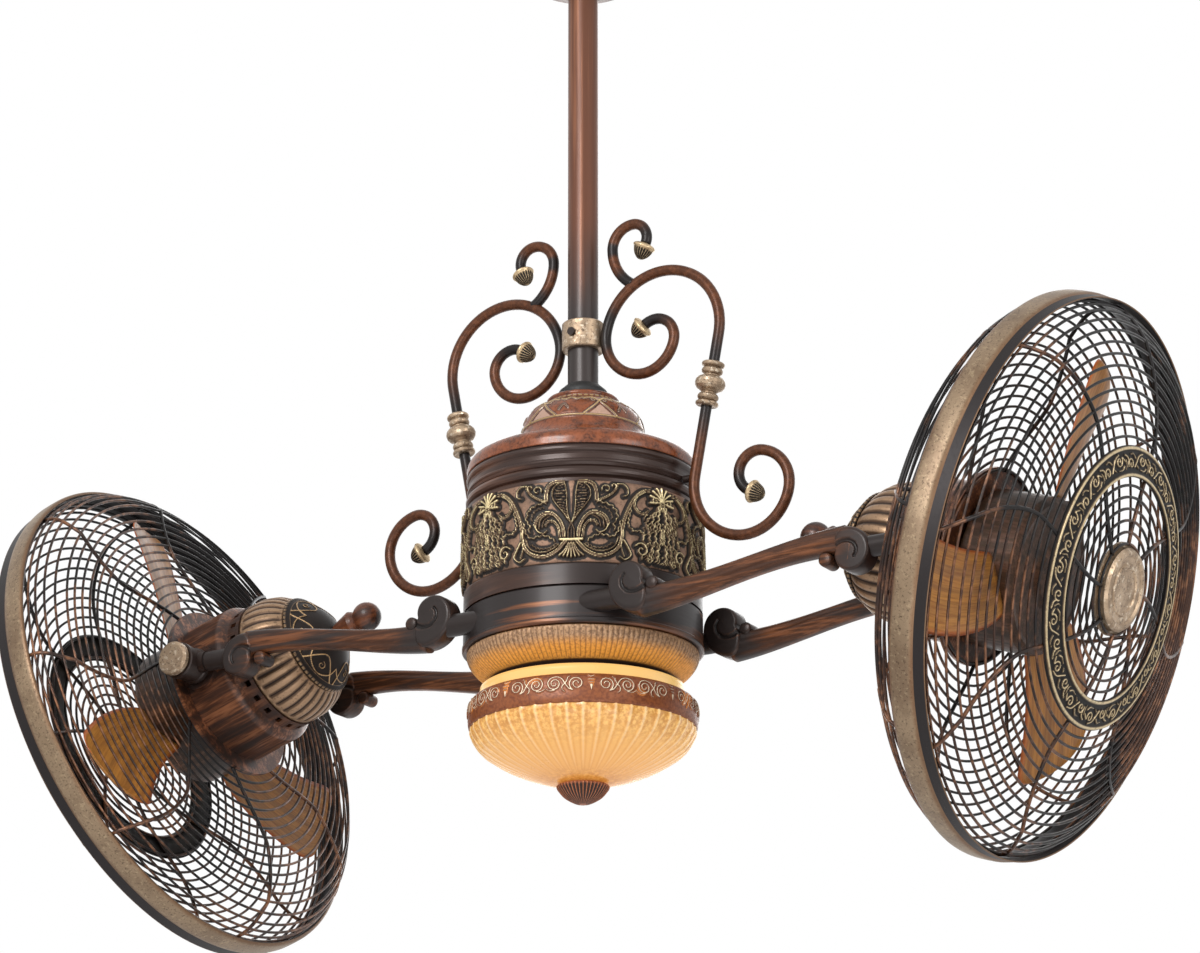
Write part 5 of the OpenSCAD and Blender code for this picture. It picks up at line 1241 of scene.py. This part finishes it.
class FAN_OT_cap(bpy.types.Operator):
    """Shape the tooled cap, the fluted light pan and the reeded finials"""
    bl_idname = "fan.cap"
    bl_label = "Cap and pan"

    def execute(self, context):
        shape = context.scene.fan_shape
        low, high = z_range("cap")
        low, high = low / MM, high / MM
        hole = 19.9
        line = bend([(21.5, 0), (24.6, -1.4), (27.4, -2.6), (30.4, -3.4), (31.6, -5.4), (30.6, -7.6),
                     (31.6, -9.0), (36.0, -11.2), (41.6, -14.2), (46.4, -18.6), (49.8, -23.4), (51.6, -28.6),
                     (52.2, -32.2), (51.6, -34.2), (52.4, -37.6), (55.2, -43.4), (60.4, -49.4), (66.4, -53.6),
                     (72.4, -56.2), (79.4, -57.9), (87.0, -58.6), (93.0, -60.0), (97.4, -63.6), (99.4, -68.4),
                     (99.5, -75)], 150)
        columns = 720
        turn = np.linspace(0, TAU, columns, endpoint=False)
        depth = line[:, 1:]
        angle = np.broadcast_to(turn + math.radians(-90 - 13), (len(line), columns))

        def dashes(at, count, length, tall):
            """A row of stitches: short raised dashes at one level of the cap."""
            place = np.abs(((angle * count / TAU) % 1) - 0.5) * TAU * line[:, :1] / count
            return bead(np.maximum(place - length, 0), 0.9) * bead(depth - at, tall)

        stitch = np.maximum(dashes(-8.4, 40, 1.1, 1.0), dashes(-57.2, 52, 2.4, 0.5))
        # Gold ribbons cross in an X, six times round; a gold cord runs along the foot of the zone
        repeat = TAU / 6
        side = np.broadcast_to(((turn[:columns // 6] - repeat / 2) * 46)[None, :], (len(line), columns // 6))
        up = 33.0 + depth
        ribbon = [(bend([(-13, 0.5), (-4.2, 9.2), (1.2, 15.5), (6, 19)]), 0.85, 0.85, 1.0),
                  (bend([(13, 0.5), (4.2, 9.2), (-1.2, 15.5), (-6, 19)]), 0.85, 0.85, 1.0),
                  (bend([(-13, 17), (-6.5, 18.4), (0, 15.4), (6.5, 18.4), (13, 17)]), 1.2, 1.2, 1.0),
                  curl((-4.6, 15.6), 2.9, 1.0, 0, 340), curl((4.6, 15.6), 2.9, 1.0, 180, -340),
                  (bend([(-23, 18.4), (-18.5, 16.4), (-14, 18.8)]), 1.5, 0.8, 0.95),
                  (bend([(14, 18.8), (18.5, 16.4), (23, 18.4)]), 0.8, 1.5, 0.95),
                  (bend([(15.5, 6.0), (19, 11.0), (23, 6.5)]), 0.9, 0.5, 0.8)]
        zone = (up > -1) & (up < 24)
        relief = np.tile(np.where(zone, ridges(side, up, ribbon), 0), (1, 6))
        shadow = np.tile(np.where(zone, shade_beside_lines(side, up, ribbon, 1.2), 0), (1, 6))
        cord = bead(depth + 33.4, 1.0)
        pale = np.tile(((np.abs(side) < 0.95 * (10.2 - up)) & (up > 0.6) & (up < 9.6)).astype(float), (1, 6))
        gold = np.maximum(np.maximum(relief, cord), stitch)
        radius = line[:, :1] + relief * 1.2 + cord * 0.8 + stitch * 0.45
        face = around(radius, angle, high + depth)
        back = turned([(96.6, low), (96.4, low + 9), (90, low + 13.2), (72, low + 15.6), (58, low + 22),
                       (50, low + 33), (47, low + 48), (38, high - 15), (hole, high - 10), (hole, high)],
                      columns, start=angle[0, 0])
        drawn = np.where(gold > 0.1, 0.55 + 0.45 * gold, 0.22 * shadow * (pale < 0.5))
        plain_pale = 0.5 * pale * (gold < 0.1) * (shadow < 0.5)
        tone = np.concatenate([plain_pale + drawn, np.zeros((len(back), columns))])

        def build(n):
            vector = n.place()
            tone = n.tone()
            mottle = n.noise(vector, 90.0, 6.0, 0.65, 0.3)
            fine = n.noise(vector, 420.0, 4.0)
            hide = n.mix(n.ramp(mottle, 0.36, 0.66), paint("7e411f"), paint("4a2411"))
            hide = n.mix(n.times(n.ramp(fine, 0.45, 0.62), 0.4), hide, paint("94522e"))
            # Painted shadow: near black beside the ribbons, where the tone is low
            color = n.mix(n.ramp(tone, 0.04, 0.2), hide, paint("20100a"))
            color = n.mix(n.ramp(tone, 0.3, 0.45), color, paint("b3907c"))
            color = n.mix(n.ramp(tone, 0.58, 0.8), color, paint("3a2413"))
            color = n.mix(n.ramp(tone, 0.86, 0.99), color, paint("c2a370"))
            return {"Base Color": color, "Roughness": n.ramp(fine, 0.3, 0.7, 0.24, 0.4),
                    "Normal": n.bump(mottle, 0.18, 0.0008)}
        finish = material("Tooled red-brown cap", build, Metallic=0.1, **{
            "Coat Weight": 0.3, "Coat Roughness": 0.16, "Specular IOR Level": 0.35})
        Skin().add(np.concatenate([face, back]) * MM, closed=True, flip=True, tone=tone).piece(
            "tooled_cap", "housing", "leather_brown", finish, replaces="cap")
        self.pan(shape)
        self.glass_finial()
        self.scroll_finials()
        return {"FINISHED"}

    def pan(self, shape):
        """The light pan: a bowl whose radius swells and sinks with fine ribs, closed by a dark neck."""
        low, high = z_range("light_pan")
        low, high = low / MM, high / MM
        neck = 77.0
        line = bend([(98.2, high - 0.2), (98.4, high - 2.6), (97.6, high - 6.0), (95.6, high - 10.0),
                     (92.2, high - 14.2), (87.6, high - 18.4), (82.6, high - 22.4), (80.0, high - 24.6)], 30)
        ribs = shape.pan_ribs
        columns = ribs * 8
        turn = np.linspace(0, TAU, columns, endpoint=False)
        fade = np.interp(np.arange(len(line)), [0, 2, 26, 29], [0, 1, 1, 0.2])[:, None]
        crest = np.abs(np.cos(turn * ribs / 2))[None, :]
        radius = line[:, :1] + fade * (crest - 1) * 0.9
        face = around(radius, turn, line[:, 1:])
        rest = turned([(neck, high - 25.4), (neck - 1, high - 28), (neck - 2, low + 1.4), (84.5, low + 0.8),
                       (85, low), (14, low), (14, high - 21.6), (68, high - 21.6), (84, high - 15),
                       (92, high - 6), (94.6, high - 0.2)], columns)
        groove = np.concatenate([fade * (1 - crest), np.ones((len(rest), columns))])
        skin = Skin().add(np.concatenate([face, rest]) * MM, closed=True, flip=True, tone=groove)

        def build(n):
            vector = n.place()
            tone = n.tone()
            z = n.split(vector)["Z"]
            fine = n.noise(vector, 480.0, 4.0)
            slow = n.noise(vector, 45.0, 3.0)
            height = n.plus(z, n.times(slow, 0.006))
            tan = n.mix(n.ramp(fine, 0.4, 0.66), paint("b08a66"), paint("7a5b40"))
            lit_amber = n.mix(n.ramp(fine, 0.42, 0.7), paint("bd8034"), paint("865222"))
            # Painted light: the lamps' glow is painted into the pan's lower half, as an orange base colour
            # and as emission
            painted_glow = n.ramp(height, (high - 4) * MM, (high - 14) * MM)
            color = n.mix(painted_glow, tan, lit_amber)
            # Painted shade: darker in the grooves between the ribs, which also get less of the painted glow
            color = n.mix(n.times(n.ramp(tone, 0.3, 1.0), 0.6), color, paint("4a2e1a"))
            color = n.mix(n.ramp(z, (high - 23.6) * MM, (high - 25.0) * MM), color, paint("241510"))
            lit = n.times(painted_glow, n.ramp(z, (high - 25.2) * MM, (high - 21.0) * MM))
            lit = n.times(lit, n.ramp(tone, 0.2, 1.0, 1.0, 0.55))
            return {"Base Color": color, "Emission Color": n.mix(lit, paint("150b05"), paint("b97a28")),
                    "Roughness": n.ramp(fine, 0.3, 0.7, 0.42, 0.6), "Normal": n.bump(fine, 0.2, 0.0004)}
        finish = material("Fluted pan", build, Metallic=0.1, **{"Emission Strength": 0.6 * glow()})
        skin.piece("fluted_pan", "housing", "tan_pan", finish, replaces="light_pan")

    def glass_finial(self):
        """The half ball under the glass: radius r(a) = r (1 - d |sin(n a / 2)|), with n reeds."""
        low, high = z_range("finial")
        low, high = low / MM, high / MM
        line = bend([(21.4, high - 0.2), (22.4, high - 1.4), (21.8, high - 3.2), (20.2, high - 5.4),
                     (16.8, high - 9.4), (11.6, high - 13.0), (6.0, low + 0.8), (2.0, low)], 30)
        depth = np.interp(np.arange(30), [0, 4, 26, 29], [0, 1, 1, 0.3])
        reeds, steps = 40, 320
        bowl = turned(line, steps,
                      swell=lambda a, row: 1 - 0.055 * depth[row] * np.abs(np.sin(a * reeds / 2)))
        grid = np.concatenate([pole(high - 0.2, steps), bowl, pole(low, steps)])
        turn = np.linspace(0, TAU, steps, endpoint=False)
        groove = depth[:, None] * np.abs(np.sin(turn * reeds / 2)) ** 0.7
        tone = 1 - np.concatenate([[np.ones(steps)], groove, [np.full(steps, 0.4)]])
        finish = carved("Reeded finial", "2a150c", "2a150c", "86492a", "c27a50", 0.25, 0.36,
                        (0.02, 0.25, 0.7, 1.0))
        Skin().add(grid * MM, flip=True, tone=tone).piece(
            "reeded_finial", "housing", "dark_brown", finish, replaces="finial")

    def scroll_finials(self):
        """A reeded half ball with a beaded rim on each end of a scroll, on the place of each CAD ball."""
        reeds, steps, top = 20, 160, 14.8
        profile = bend([(4.7, 0), (8.0, 1.0), (9.6, 2.2), (10.0, 3.4), (9.2, 4.6), (8.6, 5.6), (7.6, 8.4),
                        (5.8, 11.4), (3.2, 13.8), (1.2, top)], 34)
        depth = np.interp(np.arange(34), [0, 13, 16, 31, 33], [0, 0, 1, 1, 0.3])
        ball = turned(profile, steps,
                      swell=lambda a, row: 1 - 0.09 * depth[row] * np.abs(np.sin(a * reeds / 2)))
        grid = np.concatenate([pole(0, steps), ball, pole(top, steps)])
        turn = np.linspace(0, TAU, steps, endpoint=False)
        crest = 1 - depth[:, None] * np.abs(np.sin(turn * reeds / 2)) ** 0.7
        tone = np.concatenate([[np.full(steps, 0.3)], crest, [np.full(steps, 0.8)]])
        skin = Skin()
        for frame_of_end in scroll_ends():
            skin.add(placed(grid * MM, frame_of_end), tone=tone)
        finish = carved("Reeded brass", "1d1712", "1d1712", "6e5d46", "c4ab86", 0.65, 0.36,
                        (0.02, 0.3, 0.8, 1.0))
        skin.piece("reeded_scroll_finials", "housing", "champagne", finish, replaces="scroll_finials")


class FAN_OT_glass(bpy.types.Operator):
    """Make the fluted glass bowl and its glow"""
    bl_idname = "fan.glass"
    bl_label = "Glass bowl"

    def execute(self, context):
        shape = context.scene.fan_shape
        low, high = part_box("glass_shade")
        widest = (high.x - low.x) / 2
        top, bottom = high.z, low.z
        outer = [(widest - 8.9 * MM, top), (widest - 8 * MM, top - 5 * MM), (widest - 5 * MM, top - 12 * MM),
                 (widest - 2.2 * MM, top - 27 * MM), (widest, top - 38 * MM),
                 (widest - 3 * MM, bottom + 37 * MM), (widest - 9 * MM, bottom + 29 * MM),
                 (widest - 18 * MM, bottom + 22.5 * MM), (widest - 29 * MM, bottom + 16 * MM),
                 (widest - 43 * MM, bottom + 10 * MM), (widest - 58 * MM, bottom + 5 * MM),
                 (22 * MM, bottom + 1.2 * MM), (6 * MM, bottom + 0.3 * MM)]
        line = bend(outer, 48)
        depth = np.interp(line[:, 1], [bottom, bottom + 10 * MM, top - 34 * MM, top - 26 * MM],
                          [0.3, 1, 1, 0])
        steps = shape.flutes * 10
        inner = line - np.array([2.6 * MM, 0])
        inner[:, 0] = np.maximum(inner[:, 0], 6 * MM)
        inner[:, 1] += np.interp(line[:, 0], [0.02, widest], [2.6 * MM, 0])
        groove = np.abs(np.sin(np.linspace(0, TAU, steps, endpoint=False) * shape.flutes / 2)) ** 0.8
        body = turned(line, steps)
        body[..., :2] *= (1 - 0.014 * depth[:, None] * groove)[..., None]
        tone = np.concatenate([depth[:, None] * (1 - groove), np.zeros((len(inner), steps))])
        skin = Skin().add(np.concatenate([body, turned(inner[::-1], steps)]), closed=True,
                          flip=True, tone=tone)

        def build(n):
            vector = n.place()
            tone = n.tone()
            z = n.split(vector)["Z"]
            slow, fine = n.noise(vector, 34.0, 4.0), n.noise(vector, 260.0, 5.0, 0.65)
            radius = n.radius(vector)
            # Brown speckle under the band and round the foot; the rim above the band is clear and pale
            waver = n.times(slow, 0.014)
            under = n.times(n.ramp(n.plus(z, waver), top - 0.062, top - 0.036),
                            n.ramp(z, top - 0.014, top - 0.022))
            foot = n.ramp(n.plus(radius, waver), 0.058, 0.03)
            brown = n.times(n.math("MAXIMUM", under, foot), n.ramp(fine, 0.36, 0.6))
            # Painted light: the emission paints the bulbs' glow through the glass, with painted highlights on
            # the flute ridges, painted shade beside them, and a deeper orange at the foot and in a band under
            # the rim
            ridge = n.ramp(tone, 0.45, 0.95)
            beside = n.times(n.ramp(tone, 0.02, 0.3), n.ramp(tone, 0.6, 0.35))
            color = n.mix(n.times(brown, 0.7), paint("b47c3a"), paint("85521f"))
            shine = n.mix(n.times(brown, 0.75), paint("eeca80"), paint("ad6f2a"))
            shine = n.mix(n.times(beside, 0.5), shine, paint("b37a35"))
            shine = n.mix(n.times(ridge, 0.6), shine, paint("fff0c4"))
            shine = n.mix(n.ramp(z, bottom + 0.045, bottom, 0.0, 0.7), shine, paint("bb7426"))
            lip = n.times(n.ramp(z, top - 0.009, top - 0.012), n.ramp(z, top - 0.018, top - 0.015))
            shine = n.mix(n.times(lip, 0.7), shine, paint("d08028"))
            return {"Base Color": color, "Emission Color": shine,
                    "Roughness": n.ramp(slow, 0.3, 0.7, 0.24, 0.36)}
        glass = material("Amber fluted glass", build, **{
            "Emission Strength": 0.7 * glow(), "Coat Weight": 0.1})
        skin.piece("fluted_glass", "housing", "amber_glass", glass, replaces="glass_shade")
        bulb = material("Lit bulb", lambda n: {
            "Emission Color": n.mix(n.noise(n.place(), 40.0), paint("fff3cf"), paint("ffe3a0"))}, **{
            "Emission Strength": 2.0 * glow()})
        dress("bulbs", bulb)
        return {"FINISHED"}


class FAN_OT_stage(bpy.types.Operator):
    """Set up the white studio, the lamps and the camera"""
    bl_idname = "fan.stage"
    bl_label = "Studio"

    def execute(self, context):
        scene = context.scene
        scene.view_settings.view_transform = "Standard"
        world = bpy.data.worlds.new("Studio")
        scene.world = world
        world.use_nodes = True
        tree = world.node_tree
        tree.nodes.clear()
        n = Nodes(tree)
        direction = n.new("ShaderNodeTexCoord").outputs["Generated"]
        height = n.split(direction)["Z"]
        soft = n.mix(n.ramp(height, -0.6, 0.9), (0.2, 0.2, 0.205, 1), (0.5, 0.5, 0.51, 1))
        color = n.mix(n.seen(), soft, (1, 1, 1, 1))
        background = n.new("ShaderNodeBackground", {"Color": color, "Strength": 1.0})
        out = n.new("ShaderNodeOutputWorld")
        tree.links.new(background.outputs[0], out.inputs["Surface"])

        white = material("White floor", lambda n: {
            "Emission Color": n.mix(n.seen(), (0, 0, 0, 1), (1, 1, 1, 1))}, **{
            "Base Color": (0.85, 0.85, 0.85, 1), "Roughness": 0.9, "Emission Strength": 0.25})
        level = CAD_BOX[0][2] - 1.2
        mesh = bpy.data.meshes.new("floor")
        mesh.from_pydata([(x, y, level) for x, y in ((-6, -6), (6, -6), (6, 6), (-6, 6))], [], [(0, 1, 2, 3)])
        mesh.materials.append(white)
        floor = bpy.data.objects.new("floor", mesh)
        scene.collection.objects.link(floor)

        def lamp(name, place, target, size, power, tint=(1, 1, 1)):
            data = bpy.data.lights.new(name, "AREA")
            data.size, data.energy, data.color = size, power, tint
            thing = bpy.data.objects.new(name, data)
            thing.location = place
            thing.rotation_euler = (Vector(target) - Vector(place)).to_track_quat("-Z", "Y").to_euler()
            scene.collection.objects.link(thing)
        middle = (0, 0, -0.6)
        lamp("Key", (-1.3, -2.4, 0.5), middle, 1.2, 66)
        lamp("Fill", (2.0, -2.1, -0.3), middle, 1.4, 34)
        lamp("Under", (0.2, -1.6, -2.2), middle, 1.8, 20)
        lamp("Back", (0.4, 2.4, 0.2), middle, 1.8, 22)

        camera = bpy.data.cameras.new("Camera")
        camera.sensor_width, camera.lens = 36, 3494.5 * 36 / 1200
        camera.shift_x = 16.9 / 1200
        camera.clip_end = 50
        thing = bpy.data.objects.new("Camera", camera)
        rise = math.radians(18.6)
        aim = Vector((0, 0, -0.524))
        thing.location = aim - 3.0 * Vector((0, math.cos(rise), math.sin(rise)))
        thing.rotation_euler = (math.radians(90) + rise, 0, 0)
        scene.collection.objects.link(thing)
        scene.camera = thing
        return {"FINISHED"}


STEPS = ("finishes", "cages", "blades", "scrolls", "motors", "arms", "carving", "cap", "glass", "stage")


class FAN_PT_panel(bpy.types.Panel):
    """Lists the fan's pieces"""
    bl_label = "Ceiling Fan"
    bl_idname = "FAN_PT_panel"
    bl_space_type = "VIEW_3D"
    bl_region_type = "UI"
    bl_category = "Ceiling Fan"

    def draw(self, context):
        for name in ("walnut", "glow"):
            self.layout.prop(context.scene.fan_finish, name)
        for name in ("relief", "flutes", "pan_ribs", "reeds", "ribs", "blade_chord"):
            self.layout.prop(context.scene.fan_shape, name)
        for step in STEPS:
            self.layout.operator(f"fan.{step}")


CLASSES = (FanFinish, FanShape, FAN_OT_finishes, FAN_OT_cages, FAN_OT_blades, FAN_OT_scrolls, FAN_OT_motors,
           FAN_OT_arms, FAN_OT_carving, FAN_OT_cap, FAN_OT_glass, FAN_OT_stage, FAN_PT_panel)


def register():
    for cls in CLASSES:
        bpy.utils.register_class(cls)
    bpy.types.Scene.fan_finish = bpy.props.PointerProperty(type=FanFinish)
    bpy.types.Scene.fan_shape = bpy.props.PointerProperty(type=FanShape)


def unregister():
    del bpy.types.Scene.fan_shape
    del bpy.types.Scene.fan_finish
    for cls in reversed(CLASSES):
        bpy.utils.unregister_class(cls)


def main():
    register()
    for step in STEPS:
        getattr(bpy.ops.fan, step)()
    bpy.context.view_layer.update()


if __name__ == "__main__":
    main()
